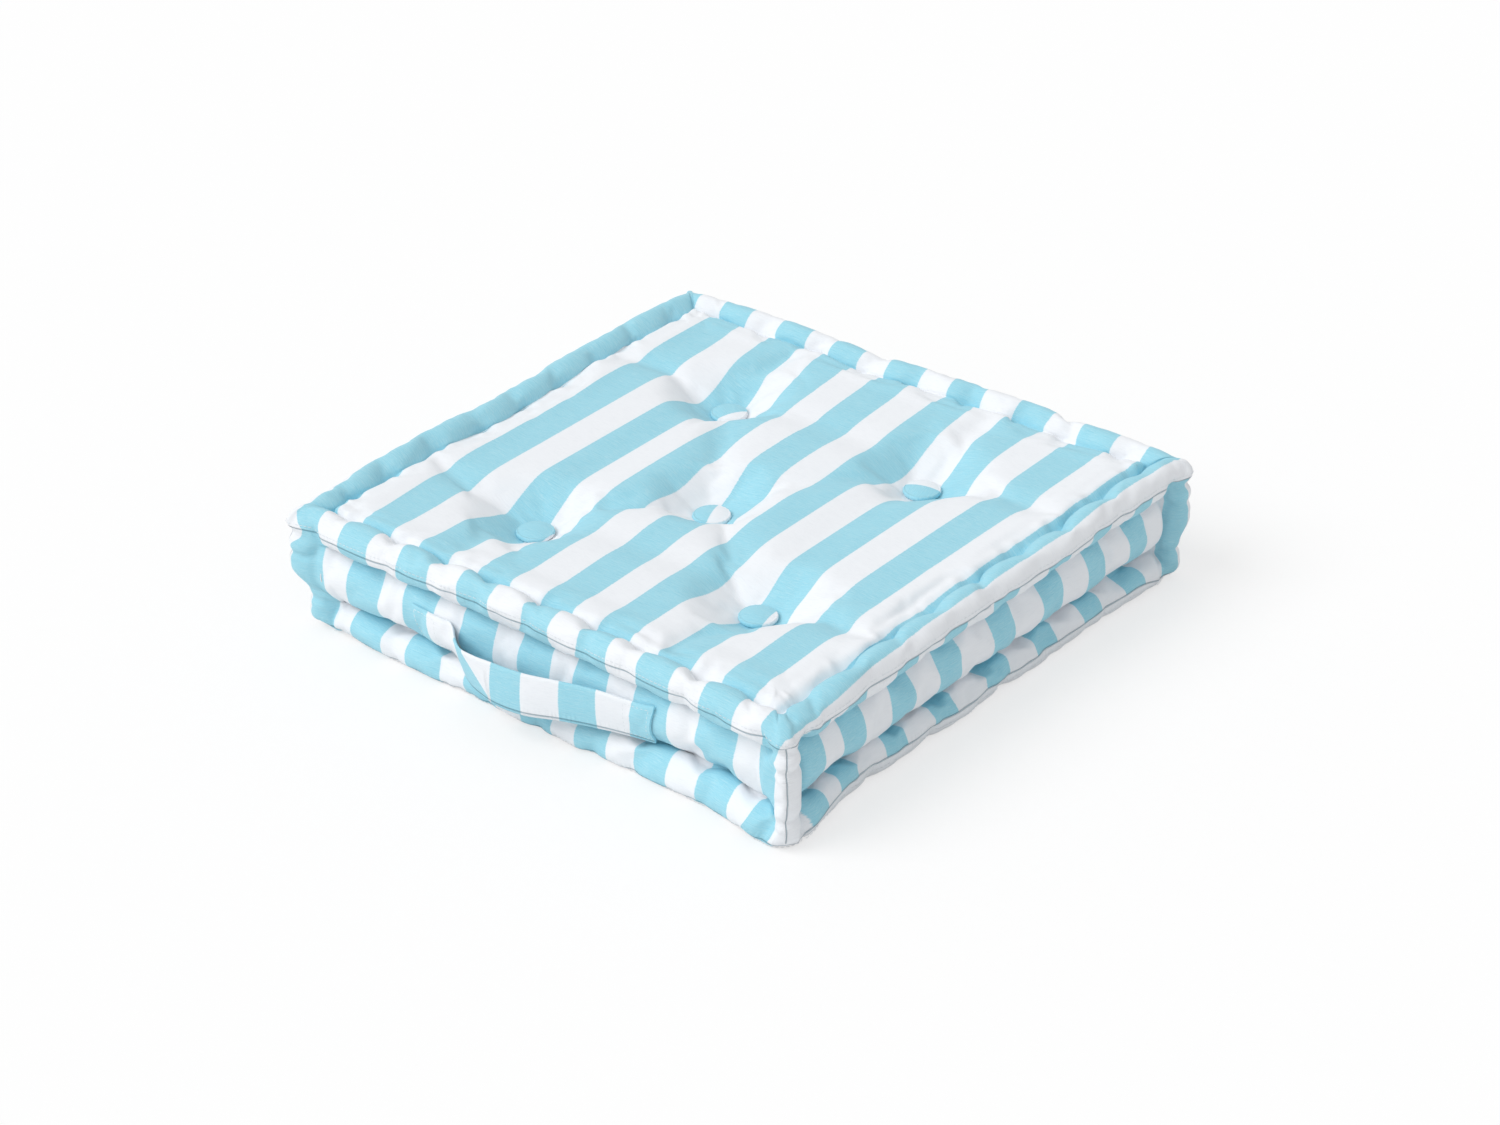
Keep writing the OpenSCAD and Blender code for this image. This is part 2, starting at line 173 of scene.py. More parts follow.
def from_side(side, s, r):
    """Frame x and y of a place s along a side and r out. Side 0 is the front; the rest go anticlockwise."""
    c, d = math.cos(side * math.pi / 2), math.sin(side * math.pi / 2)
    return s * c + r * d, s * d - r * c + centre_y


def to_side(side, x, y):
    """Distance along a side and out from the middle of places in the frame."""
    c, d = math.cos(side * math.pi / 2), math.sin(side * math.pi / 2)
    y = y - centre_y
    return x * c + y * d, x * d - y * c


def place_on_side(column):
    """A column's distance along its side, and its step round the corner, which is 0 on the straight."""
    s = -corner_start + 2 * corner_start * (column - corner_steps) / side_steps
    return s, max(corner_steps - column, column - (columns - corner_steps), 0)


def corner_path(r, groove, crease, k):
    """Plan of a wall at corner step k: straight, into the upright groove, round the roll to its mitre."""
    groove_r, groove_s = groove
    bend_s = groove_s - groove_flank
    if k <= bend_step:
        return r, corner_start + (bend_s - corner_start) * k / bend_step
    if k <= groove_step:
        t = (k - bend_step) / (groove_step - bend_step)
        return r + (groove_r - r) * smooth(t), bend_s + (groove_s - bend_s) * t
    radius = (half - groove_s) / 2
    centre = half - radius
    begin = -math.acos((groove_r - centre) / radius)
    t = (k - groove_step) / (corner_steps - groove_step)
    angle = begin + (math.pi / 4 - begin) * t
    miss = corner_reach - centre - radius * math.cos(math.pi / 4)
    radius -= crease
    return centre + radius * math.cos(angle) + miss * t * t, centre + radius * math.sin(angle) + miss * t * t


def wall_share(row):
    """How far a row follows the corner roll rather than the mitred rolls above and below it."""
    return smooth((row - 8) / 8) * smooth((bottom_seam_row + 1 - row) / 6)


def rounded_mitre(r, along, radius):
    """Plan of a roll near its corner: straight, then round to the mitre with the given radius."""
    begin = r - radius
    if along <= begin:
        return r, along
    angle = math.pi / 4 * (along - begin) / radius
    return begin + radius * math.cos(angle), begin + radius * math.sin(angle)


def tuck_kept(tucked, along):
    """Share of the bottom roll's tuck that is left towards a corner."""
    return 1 - (1 - tucked) * smooth((along - tuck_fades_from) / tuck_fade)


def side_point(side, row, column):
    """One point of the rolls and walls, before the stitches pinch them."""
    r, z = sections[side][column][row]
    s, k = place_on_side(column)
    end = s > 0
    tucked = tucked_ends[side][end]
    tuck = bottom_tuck * smooth((row - middle_row) / 8)
    if k == 0:
        return *from_side(side, s, r - tuck * tuck_kept(tucked, abs(s))), z
    q = k / corner_steps
    radius = np.interp(z, (roll_r, top_roll_z), corner_rounds[(side + end) % 4])
    mitre_r, mitre_s = rounded_mitre(r, corner_start + (r - corner_start) * q, radius)
    post_z = np.interp(row, outer_rows, (top_roll_z, roll_r))
    crease = crease_depth * sum(math.exp(-((post_z - c) / crease_width) ** 2) for c in crease_heights)
    wall_r, wall_s = corner_path(r, upright_grooves[side][end], crease, k)
    share = wall_share(row)
    out = mitre_r + (wall_r - mitre_r) * share
    along = mitre_s + (wall_s - mitre_s) * share
    if outer_rows[0] < row < outer_rows[1]:
        z += (post_z - z) * smooth((k - lobe_ends[side][end]) / 6)
    out -= tuck * tuck_kept(tucked, along)
    along -= tuck * tucked * smooth(q)
    return *from_side(side, math.copysign(along, s), out), z


def pull_corners(points):
    """The sides run a little out of square; the tufts keep their places and the walls half follow."""
    x, y = points[..., 0] / (2 * half) + 0.5, (points[..., 1] - centre_y) / (2 * half) + 0.5
    near = smooth((2 * half * np.maximum(np.abs(x - 0.5), np.abs(y - 0.5)) - 0.125) / 0.11)
    follow = 1 - 0.6 * np.exp(-(((points[..., 2] - middle_z) / 0.022) ** 4)) * (np.abs(x - 0.5) < 0.44)
    shares = ((1 - x) * (1 - y), x * (1 - y), x * y, (1 - x) * y)
    for share, pull in zip(shares, corner_pull):
        points[..., :2] += (near * share * follow)[..., None] * pull
    return points


tufts = [
    tuple(((low + high) / 2)[:2]) for low, high in (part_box(f"top_button_{i}_cover") for i in range(1, 6))
]
tuft_seat_r = 0.013
dimple_r = 0.061
top_seat_z = 0.076
bottom_seat_z = 0.020

# Stitches pinch the rolls about every 50 mm, set by hand and so a little uneven
pinch_pitch = 0.050
pinch_width = 0.011
pinch_count = 4
chance = np.random.default_rng(7)
pinch_places = [
    [place * pinch_pitch + chance.uniform(-0.004, 0.004) for place in range(-pinch_count, pinch_count + 1)]
    for _ in range(4)
]


def pinched(side, s):
    """1 at a stitch of that side's roll, 0 between stitches."""
    near = np.min([np.abs(s - place) for place in pinch_places[side]], axis=0)
    return np.exp(-((near / pinch_width) ** 2))


def valley(x, y, start, end, depth, width):
    """A soft valley drawn down along a line between two points."""
    ax, ay = start
    dx, dy = end[0] - ax, end[1] - ay
    t = np.clip(((x - ax) * dx + (y - ay) * dy) / (dx * dx + dy * dy), 0, 1)
    away = np.hypot(x - ax - t * dx, y - ay - t * dy)
    return depth * np.exp(-((away / width) ** 2))


def edge_point(tuft, sideways):
    """Where the valley from an outer tuft meets the nearest edge of the field."""
    x, y = tuft
    if sideways:
        return math.copysign(field_x, x), y
    return x, centre_y + math.copysign(field_x, y - centre_y)


# Valleys run from the middle tuft to the outer ones, from those to the edge, and between them
outer_tufts = [t for i, t in enumerate(tufts) if i != 2]
valleys = [(tufts[2], t, 0.004, 0.016) for t in outer_tufts]
valleys += [(t, edge_point(t, sideways), 0.003, 0.014) for t in outer_tufts for sideways in (True, False)]
valleys += [(outer_tufts[i], outer_tufts[(i + 1) % 4], 0.0025, 0.018) for i in range(4)]


def field_height(x, y, dimples):
    """Height of the field: level, rounded down at its edge, with bells at the tufts and valleys between."""
    r = np.maximum(np.abs(x), np.abs(y - centre_y))
    over = np.clip(r - field_x, 0, field_edge_r)
    z = field_z - field_edge_r + np.sqrt(np.maximum(field_edge_r**2 - over**2, 0))
    drawn = np.zeros_like(z)
    for tx, ty in tufts:
        t = (np.hypot(x - tx, y - ty) - tuft_seat_r) / (dimple_r - tuft_seat_r)
        drawn = np.maximum(drawn, dimples * (1 - smooth(t)) ** 1.25)
    if dimples:
        lines = np.max([valley(x, y, *line) for line in valleys], axis=0)
        lines = lines * smooth((field_x - r) / 0.02)
        drawn = np.sqrt(drawn**2 + lines**2 * (1 - (drawn / dimples) ** 2))
    return z - drawn


side_points = np.array([
    [side_point(side, row, column) for side in range(4) for column in range(columns)] for row in range(rows)
])

# The rolls swell between the stitches and are drawn in at them, and so is the groove inside the top roll
stitched_reach = 0.232
roll_swell = 0.05
roll_pinch = 0.26
groove_lift = 0.0025
groove_pull = 0.0055
for side in range(4):
    part = side_points[:, side * columns:(side + 1) * columns]
    s, r = to_side(side, part[..., 0], part[..., 1])
    pinch = pinched(side, s)
    inside = smooth((stitched_reach - np.abs(s)) / 0.02)
    for first, last, centre_z in ((0, upper_groove_row, top_roll_z), (lower_groove_row + 1, rows, roll_r)):
        band = slice(first, last)
        tucked = np.where(s[band] > 0, tucked_ends[side][1], tucked_ends[side][0])
        tuck = bottom_tuck * tuck_kept(tucked, np.abs(s[band])) if centre_z < middle_z else 0
        centre_r = roll_x - tuck
        outer = smooth((r[band] - centre_r) / roll_r + 0.4)
        scale = (roll_swell - roll_pinch * pinch[band] * (1 - 0.75 * outer)) * inside[band]
        r[band] += (r[band] - centre_r) * scale
        part[band, :, 2] += (part[band, :, 2] - centre_z) * scale
    lift = (groove_lift - groove_pull * pinch) * inside
    part[0, :, 2] += lift[0]
    part[1, :, 2] += lift[1] / 2
    part[..., 0], part[..., 1] = from_side(side, s, r)


def edge_shift(z, edge_z, x, y):
    """Carries the rolls' own height at the field's edge a little way into the field."""
    ends = np.arange(columns + 1)
    front, right, back, left = (edge_z[(side * columns + ends) % ring] for side in range(4))
    shift = np.zeros_like(z)
    for step, outward in (
        ((front - z[:, 0])[:, None], y[0, 0] - y),
        ((right - z[-1])[None, :], x - x[-1, 0]),
        ((back[::-1] - z[:, -1])[:, None], y - y[0, -1]),
        ((left[::-1] - z[0])[None, :], x[0, 0] - x),
    ):
        shift += step * smooth(1 + outward / 0.014)
    return shift


def field_grid(row):
    """Plan of a field's grid, level with the rolls' columns at its edge and evenly spaced inside."""
    index = np.arange(columns + 1)
    front, right, back, left = (
        to_side(side, *side_points[row, (side * columns + index) % ring, :2].T) for side in range(4)
    )
    near_start = smooth(1 - index / corner_steps)
    near_end = near_start[::-1]
    even = np.linspace(front[0][0], front[0][-1], columns + 1)
    x = even[:, None] + (
        np.outer(front[0] - even, near_start) + np.outer(-back[0][::-1] - even, near_end))
    y = even[None, :] + (
        np.outer(near_end, right[0] - even) + np.outer(near_start, -left[0][::-1] - even))
    x[0] = -left[1][::-1]
    x[-1] = right[1]
    y[:, 0] = -front[1]
    y[:, -1] = back[1][::-1]
    return x, y + centre_y


stripe_pitch = 0.0585
stripe_start = -0.002

# Middles of the blue stripes on the top panel at its front and at its back edge
top_marks = (
    (-0.236, -0.1835, -0.123, -0.0615, 0.003, 0.057, 0.116, 0.1765, 0.235),
    (-0.240, -0.1855, -0.123, -0.071, -0.0135, 0.047, 0.1095, 0.1715, 0.231),
)
# Places along each wall and the places of its cloth that meet them: front, right, back and left
wall_marks = (
    ((-0.195, -0.198), (-0.1175, -0.119), (-0.057, -0.0605), (0.001, -0.002), (0.0545, 0.0565),
     (0.1105, 0.115), (0.195, 0.195)),
    ((-0.195, -0.220), (-0.180, -0.1925), (-0.150, -0.1625), (-0.108, -0.119), (-0.0535, -0.0605),
     (0.0145, -0.002), (0.0745, 0.0565), (0.1315, 0.115), (0.195, 0.186)),
    *[((-0.195, -0.190), (0.195, 0.190))] * 2,
)
corner_seam = 0.263
# Cloth that meets the start, the bend and the bottom of the upright groove and the corner seam
corner_marks = (
    ((0.199, 0.211, 0.222, 0.256), (0.195, 0.227, 0.2425, 0.264)),
    ((0.220, 0.246, 0.252, 0.263), (0.186, 0.205, 0.216, 0.254)),
    *[((0.190, 0.212, 0.236, 0.263),) * 2] * 2,
)
# The stripes of the top lean to the right where its cloth was eased into the front seam
front_lean = 0.0065
front_lean_reach = 0.35
# The bottom panel was cut a little across, so a white stripe follows its right edge
bottom_stretch = 1.045
# How far the blue stripes of a wall are stretched by the bulge, front, right, back and left
stripe_spread = (0.0015, -0.002, 0.001, 0.001)
# Where no seam is near, this stands for the distance from it
seam_far = 0.05
roll_edge = abs(side_points[0, 0, 0])


def top_cloth(x, y):
    """Cloth coordinates of the top panel, whose stripes wander a little from its front to its back edge."""
    back = np.clip((y - centre_y) / (2 * half) + 0.5, 0, 1)
    blues = stripe_start + stripe_pitch * np.arange(-4, 5)
    front_shift, back_shift = (np.interp(x, marks, blues - marks) for marks in np.array(top_marks))
    shift = (1 - back) * front_shift + back * back_shift
    return x + shift - front_lean * smooth(1 - back / front_lean_reach), y - centre_y


def bottom_cloth(x, y):
    return x * bottom_stretch, y - centre_y


def wall_cloth(side, column):
    """Cloth coordinate across the stripes on a wall."""
    s, k = place_on_side(column)
    if k:
        marks = corner_marks[side][s > 0]
        across = math.copysign(np.interp(k, (0, bend_step, groove_step, corner_steps), marks), s)
    else:
        across = float(np.interp(s, *zip(*wall_marks[side])))
    across -= stripe_start
    return across - stripe_spread[side] * math.sin(2 * math.pi * across / stripe_pitch) + stripe_start


def cloth_along(column, reach):
    """A column's distance along its side in cloth that reaches the corner seam at the given distance."""
    s, k = place_on_side(column)
    return math.copysign(corner_start + (reach - corner_start) * k / corner_steps, s) if k else s


def cloth_point(side, row, column, panel):
    """Cloth coordinates of a point of the rolls and walls in one of the panels that meet there."""
    if panel != "wall":
        top = panel == "top"
        reach = roll_edge + (section_length[row] if top else section_length[-1] - section_length[row])
        place = from_side(side, cloth_along(column, reach), reach)
        return top_cloth(*place) if top else bottom_cloth(*place)
    across = wall_cloth(side, column)
    if side % 2 == 0 and row < upper_groove_row:
        # The front and back walls were sewn on stripe to stripe: theirs lean to meet the top's at the seam
        met = cloth_point(side, top_seam_row, column, "top")[0]
        miss = (met if side == 0 else 2 * stripe_start - met) - across
        miss -= stripe_pitch * round(miss / stripe_pitch)
        across += miss * (upper_groove_row - row) / (upper_groove_row - top_seam_row)
    return across, -section_length[row]


def seam_points(corners):
    """Distance along and across the seam nearest to a face, for each of its corners."""
    along = [cloth_along(column, corner_seam) for _, column in corners]
    lengths = [section_length[row] for row, _ in corners]
    level = min(
        ([length - section_length[seam] for length in lengths] for seam in (top_seam_row, bottom_seam_row)),
        key=lambda distances: abs(sum(distances)),
    )
    upright = [math.copysign(corner_seam - abs(s), s) for s in along]
    on_wall = all(top_seam_row <= row <= bottom_seam_row for row, _ in corners)
    if on_wall and abs(sum(upright)) < abs(sum(level)):
        return list(zip(lengths, upright))
    return list(zip(along, level))


def square(i, j):
    return [(i, j), (i + 1, j), (i + 1, j + 1), (i, j + 1)]


def build_cover_mesh():
    """Vertices with and without dimples, faces, and the cloth and seam coordinates of the faces' corners."""
    vertices, flat = [side_points.reshape(-1, 3)], [side_points.reshape(-1, 3)]
    faces, coordinates, seams = [], [], []
    for row in range(rows - 1):
        panel = "top" if row < top_seam_row else "bottom" if row >= bottom_seam_row else "wall"
        for side in range(4):
            for column in range(columns):
                corners = square(row, column)
                faces.append([r * ring + (side * columns + c) % ring for r, c in corners])
                coordinates.append([cloth_point(side, r, c, panel) for r, c in corners])
                seams.append(seam_points(corners))

    for row, up in ((0, True), (rows - 1, False)):
        x, y = field_grid(row)
        start = sum(len(v) for v in vertices)
        index = np.full((columns + 1, columns + 1), -1)
        ends = np.arange(columns + 1)
        for side, line in enumerate((index[:, 0], index[-1], index[::-1, -1], index[0, ::-1])):
            line[:] = row * ring + (side * columns + ends) % ring
        inner = index < 0
        index[inner] = start + np.arange(inner.sum())
        for store, depth in ((vertices, 1), (flat, 0)):
            if up:
                z = field_height(x, y, depth * (field_z - top_seat_z))
            else:
                z = field_z - field_height(x, y, depth * bottom_seat_z)
            z = z + edge_shift(z, side_points[row, :, 2], x, y)
            store.append(np.column_stack((x[inner], y[inner], z[inner])))
        for i in range(columns):
            for j in range(columns):
                corners = square(i, j)[::1 if up else -1]
                faces.append([index[c] for c in corners])
                coordinates.append([(top_cloth if up else bottom_cloth)(x[c], y[c]) for c in corners])
                seams.append([(0, seam_far)] * 4)
    return np.vstack(vertices), np.vstack(flat), faces, coordinates, seams


dimpled, cut_flat, cover_faces, cover_cloth, cover_seams = build_cover_mesh()
dimpled, cut_flat = pull_corners(dimpled), pull_corners(cut_flat)

# ---- Cover simulation ----------------------------------------------------
# The stuffed cover takes its folds from a cloth simulation: the cut panels are inflated, held at
# the tufts and at every stitch that pinches a roll.
cover_growth = 0.045
settling_frames = 22
seam_hold = 0.5
groove_hold = 0.35
free_hold = 0.01
roll_swell_limit = 0.008
field_swell_limit = 0.0045


def hold_weights(points):
    """How firmly each point keeps its place: 1 at a stitch, little on the free cloth."""
    held = np.full(len(points), free_hold)
    band = held[:band_count].reshape(rows, 4, columns)
    place = points[:band_count].reshape(rows, 4, columns, 3)
    for side in range(4):
        pinch = pinched(side, to_side(side, place[:, side, :, 0], place[:, side, :, 1])[0]) ** 3
        for row in (0, rows - 1):
            band[row, side] = 0.08 + 0.92 * pinch[row]
        for groove in (upper_groove_row, lower_groove_row):
            near = slice(groove - 1, groove + 2)
            band[near, side] = groove_hold + (1 - groove_hold) * pinch[near]
    band[upper_groove_row + 1:lower_groove_row, :, groove_columns] = 0.9
    band[upper_groove_row + 1:lower_groove_row, 0, groove_columns] = 0.3
    corner = (0, 1, columns - 1)
    band[4:top_seam_row + 1, :, corner] = seam_hold
    band[lower_groove_row + 4:bottom_seam_row + 1, :, corner] = seam_hold
    x, y, z = points[band_count:].T
    nearest = np.min([np.hypot(x - tx, y - ty) for tx, ty in tufts], axis=0)
    held[band_count:][z < 0.010] = 0.3
    held[band_count:][nearest < tuft_seat_r] = 1.0
    return held


def mesh_object(name, points, faces):
    mesh = bpy.data.meshes.new(name)
    mesh.from_pydata([tuple(p) for p in points], [], [list(map(int, f)) for f in faces])
    mesh.update()
    made = bpy.data.objects.new(name, mesh)
    bpy.context.scene.collection.objects.link(made)
    return made


def canvas_mesh(name, points, faces, cloth, seams):
    """A smooth mesh with two maps for the canvas: its place in the cloth and its distance from a seam."""
    made = mesh_object(name, points, faces)
    for layer, values in (("cloth", cloth), ("seams", seams)):
        made.data.uv_layers.new(name=layer).data.foreach_set("uv", np.array(values, np.float32).ravel())
    made.data.polygons.foreach_set("use_smooth", [True] * len(made.data.polygons))
    return made


def read_vertices(mesh, what):
    values = np.empty(len(mesh.vertices) * 3, np.float32)
    mesh.vertices.foreach_get(what, values)
    return values.reshape(-1, 3).astype(float)


def inflate(start, cut):
    """The start shape after the cloth, grown a little from its cut, has been blown up and has settled."""
    cloth = mesh_object("cover_simulation", start, cover_faces)
    cloth.shape_key_add(name="Basis")
    pattern = cloth.shape_key_add(name="cut")
    pattern.data.foreach_set("co", cut.astype(np.float32).ravel())
    group = cloth.vertex_groups.new(name="held")
    for index, weight in enumerate(hold_weights(start)):
        group.add([index], float(weight), "REPLACE")
    modifier = cloth.modifiers.new("Cloth", "CLOTH")
    settings = dict(
        quality=5, mass=0.3, tension_stiffness=30, compression_stiffness=30, shear_stiffness=8,
        bending_stiffness=0.6, tension_damping=10, compression_damping=10, air_damping=4, use_pressure=True,
        uniform_pressure_force=5.0, shrink_min=-cover_growth, rest_shape_key=pattern,
        vertex_group_mass="held", pin_stiffness=1.0,
    )
    for name, value in settings.items():
        setattr(modifier.settings, name, value)
    modifier.settings.effector_weights.gravity = 0
    modifier.collision_settings.use_collision = False
    modifier.point_cache.frame_end = settling_frames
    scene = bpy.context.scene
    for number in range(1, settling_frames + 1):
        scene.frame_set(number)
    settled = cloth.evaluated_get(bpy.context.evaluated_depsgraph_get())
    points = read_vertices(settled.data, "co")
    scene.frame_set(1)
    bpy.data.objects.remove(cloth)
    return points


shape = dimpled.copy()
moved = inflate(dimpled, cut_flat) - dimpled
distance = np.linalg.norm(moved, axis=1)
reach = np.maximum(np.abs(dimpled[:, 0]), np.abs(dimpled[:, 1] - centre_y))
most = field_swell_limit + (roll_swell_limit - field_swell_limit) * smooth((reach - 0.190) / 0.025)
limit = most * np.tanh(distance / most) / np.maximum(distance, 1e-9)
shape = dimpled + moved * limit[:, None]
shape[:, 2] = np.maximum(shape[:, 2], 0)
cover = canvas_mesh("cushion_cover", shape, cover_faces, cover_cloth, cover_seams)


# ---- Striped cotton canvas -----------------------------------------------
# Plain-woven cotton with broad blue and white stripes, yarn-dyed: matt, a little slubby, with pale
# cross threads showing in the blue and thread-fine edges to the stripes.
def colour(code):
    """Linear colour of an sRGB hex code."""
    parts = [int(code[i:i + 2], 16) / 255 for i in (1, 3, 5)]
    return [p / 12.92 if p <= 0.04045 else ((p + 0.055) / 1.055) ** 2.4 for p in parts] + [1.0]


class Nodes:
    """Adds nodes to a tree. A term is a socket, a node for its first output, a hex colour or a value."""

    def __init__(self, tree):
        self.tree = tree

    def add(self, kind, terms=None, **settings):
        """A new node with its settings, and its inputs by number or name."""
        node = self.tree.nodes.new(kind)
        for name, value in settings.items():
            setattr(node, name, value)
        for key, term in (terms or {}).items():
            if isinstance(term, bpy.types.Node):
                term = term.outputs[0]
            if isinstance(term, bpy.types.NodeSocket):
                self.tree.links.new(term, node.inputs[key])
            else:
                is_colour = isinstance(term, str) and term.startswith("#")
                node.inputs[key].default_value = colour(term) if is_colour else term
        return node

    def maths(self, operation, *terms):
        return self.add("ShaderNodeMath", dict(enumerate(terms)), operation=operation)

    def plus(self, first, second):
        return self.maths("ADD", first, second)

    def minus(self, first, second):
        return self.maths("SUBTRACT", first, second)

    def times(self, first, second):
        return self.maths("MULTIPLY", first, second)

    def ramp(self, value, start, stop, low=0.0, high=1.0, easing="LINEAR"):
        """Goes from low to high as the value goes from start to stop."""
        terms = {0: value, 1: start, 2: stop, 3: low, 4: high}
        return self.add("ShaderNodeMapRange", terms, interpolation_type=easing)

    def scaled(self, vector, scale):
        return self.add("ShaderNodeVectorMath", {0: vector, 1: scale}, operation="MULTIPLY")

    def noise(self, place, scale, detail=2.0, roughness=0.5):
        terms = {"Vector": place, "Scale": scale, "Detail": detail, "Roughness": roughness}
        return self.add("ShaderNodeTexNoise", terms)

    def cloth_noise(self, place, threads, detail=2.0, roughness=0.5):
        """Noise over the cloth; threads gives its features a millimetre along and across the stripes."""
        return self.noise(self.scaled(place, threads), 1.0, detail, roughness)

    def mix(self, factor, first, second, mode="MIX"):
        """Blend of two colours."""
        terms = {0: factor, 6: first, 7: second}
        return self.add("ShaderNodeMix", terms, data_type="RGBA", blend_type=mode).outputs[2]


def fresh_nodes(owner):
    """The emptied nodes of a material or a world."""
    owner.use_nodes = True
    owner.node_tree.nodes.clear()
    return Nodes(owner.node_tree)


stripe_pitch_mm = 1000 * stripe_pitch
stripe_centre_mm = 1000 * stripe_start
stripe_blue_mm = 30.0
stripe_edge_mm = 0.35
thread_mm = 0.55
stripe_blue = "#A7DFEE"
stripe_blue_deep = "#8DCDE0"
stripe_blue_fleck = "#C6EAF3"
stripe_white = "#F3F6FA"
stripe_white_shade = "#E4E9EF"
# Colour of the painted shade in the ditches along the seams
painted_seam_shade = "#8AA9B5"


def striped_canvas(name):
    material = bpy.data.materials.new(name)
    make = fresh_nodes(material)
    mm = make.scaled(make.add("ShaderNodeUVMap", uv_map="cloth"), (1000, 1000, 0))
    across, along = make.add("ShaderNodeSeparateXYZ", {0: mm}).outputs[:2]

    # Stripes: their edges step from thread to thread
    wander = make.cloth_noise(mm, (0.03, 0.9, 0), 1.0)
    edge = make.plus(across, make.times(make.minus(wander, 0.5), 1.1))
    phase = make.maths("DIVIDE", make.minus(edge, stripe_centre_mm), stripe_pitch_mm)
    away = make.maths("ABSOLUTE", make.minus(phase, make.maths("ROUND", phase)))
    is_blue = make.ramp(away, (stripe_blue_mm / 2 - stripe_edge_mm) / stripe_pitch_mm,
                        (stripe_blue_mm / 2 + stripe_edge_mm) / stripe_pitch_mm, 1.0, 0.0)

    # Slubs: thick places in the cross threads, about 10 mm long and 1 mm high, paler in the blue
    slub = make.cloth_noise(mm, (0.12, 1.5, 0), 2.0, 0.6)
    slubs = make.ramp(slub, 0.52, 0.68)
    flecks = make.ramp(make.cloth_noise(mm, (0.55, 1.9, 0), 2.0, 0.7), 0.55, 0.72)
    cloud = make.cloth_noise(mm, (0.022, 0.05, 0), 3.0, 0.55)
    streaks = make.ramp(make.cloth_noise(mm, (0.07, 1.0, 0), 2.0, 0.6), 0.50, 0.70)

    # Weave: over and under of single threads
    warp, weft = (make.maths("SINE", make.times(way, math.tau / (2 * thread_mm))) for way in (across, along))
    weave = make.times(warp, weft)
    over = make.plus(weave, 1.0)

    blue = make.mix(make.times(cloud, 0.5), stripe_blue, stripe_blue_deep)
    blue = make.mix(make.times(streaks, 0.55), blue, stripe_blue_deep)
    blue = make.mix(make.times(make.maths("MAXIMUM", slubs, flecks), 0.50), blue, stripe_blue_fleck)
    blue = make.mix(make.times(over, 0.07), blue, stripe_blue_deep)
    white = make.mix(make.times(slubs, 0.30), stripe_white, stripe_white_shade)
    white = make.mix(make.times(over, 0.05), white, stripe_white_shade)
    base = make.mix(is_blue, white, blue)

    # Painted shade of the ditch along each seam: V of the second map is the distance from the nearest seam
    # in metres, U runs along it
    seam_mm = make.scaled(make.add("ShaderNodeUVMap", uv_map="seams"), (1000, 1000, 0))
    beside = make.maths("ABSOLUTE", make.add("ShaderNodeSeparateXYZ", {0: seam_mm}).outputs[1])
    ditch = make.ramp(beside, 0.15, 1.0, 1.0, 0.0, "SMOOTHSTEP")
    # Painted shade: the colour darkens towards each seam, where the cloth dips into its ditch
    base = make.mix(make.times(ditch, 0.65), base, painted_seam_shade, "MULTIPLY")

    # Puckers run off the seams and die out within a few millimetres
    pucker = make.cloth_noise(seam_mm, (0.32, 0.05, 0), 1.0)
    near_seam = make.ramp(beside, 0.5, 9.0, 1.0, 0.0, "SMOOTHSTEP")
    ripple = make.times(make.minus(pucker, 0.5), make.times(near_seam, 1.6))
    rumple = make.times(make.cloth_noise(mm, (0.05, 0.08, 0), 3.0, 0.5), 0.45)

    relief = make.times(weave, 0.05)
    nap = make.cloth_noise(mm, (0.35, 1.6, 0), 3.0, 0.6)
    for term, amount in ((slubs, 0.07), (nap, 0.16), (ditch, -0.9)):
        relief = make.plus(relief, make.times(term, amount))
    relief = make.plus(relief, make.plus(ripple, rumple))
    bump = make.add("ShaderNodeBump", {"Height": relief, "Strength": 0.9, "Distance": 0.001})

    shader = make.add("ShaderNodeBsdfPrincipled", {
        "Base Color": base, "Roughness": make.ramp(slub, 0.0, 1.0, 0.80, 0.93), "Normal": bump,
        "Sheen Weight": 0.12, "Sheen Roughness": 0.5, "Specular IOR Level": 0.25,
    })
    make.add("ShaderNodeOutputMaterial", {"Surface": shader})
    return material


canvas = striped_canvas("striped_cotton_canvas")
cover.data.materials.append(canvas)
subdivision = cover.modifiers.new("Subdivision", "SUBSURF")
subdivision.levels = subdivision.render_levels = 1

fillings = [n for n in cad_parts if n.endswith("filling") or n == "filling_core"]
panels = ["top_panel", "bottom_panel", "front_panel", "right_panel", "back_panel", "left_panel"]
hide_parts(*panels, *fillings)
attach(cover, "cushion")

# ---- Carrying handle -------------------------------------------------------
# A strap of the same canvas, cut across its stripes, folded double and stitched along its lower edge.
# Its ends are sewn flat to the front wall; between them it stands off, with a twist at the left.
strap_width = 0.036
strap_thickness = 0.0020
strap_hem = 0.0024
strap_edge = 0.0008
strap_stitching = 0.0030
# How far its middle layer lies off the wall and its outer face off the middle layer
strap_laid = 0.0014
strap_face = 0.0010
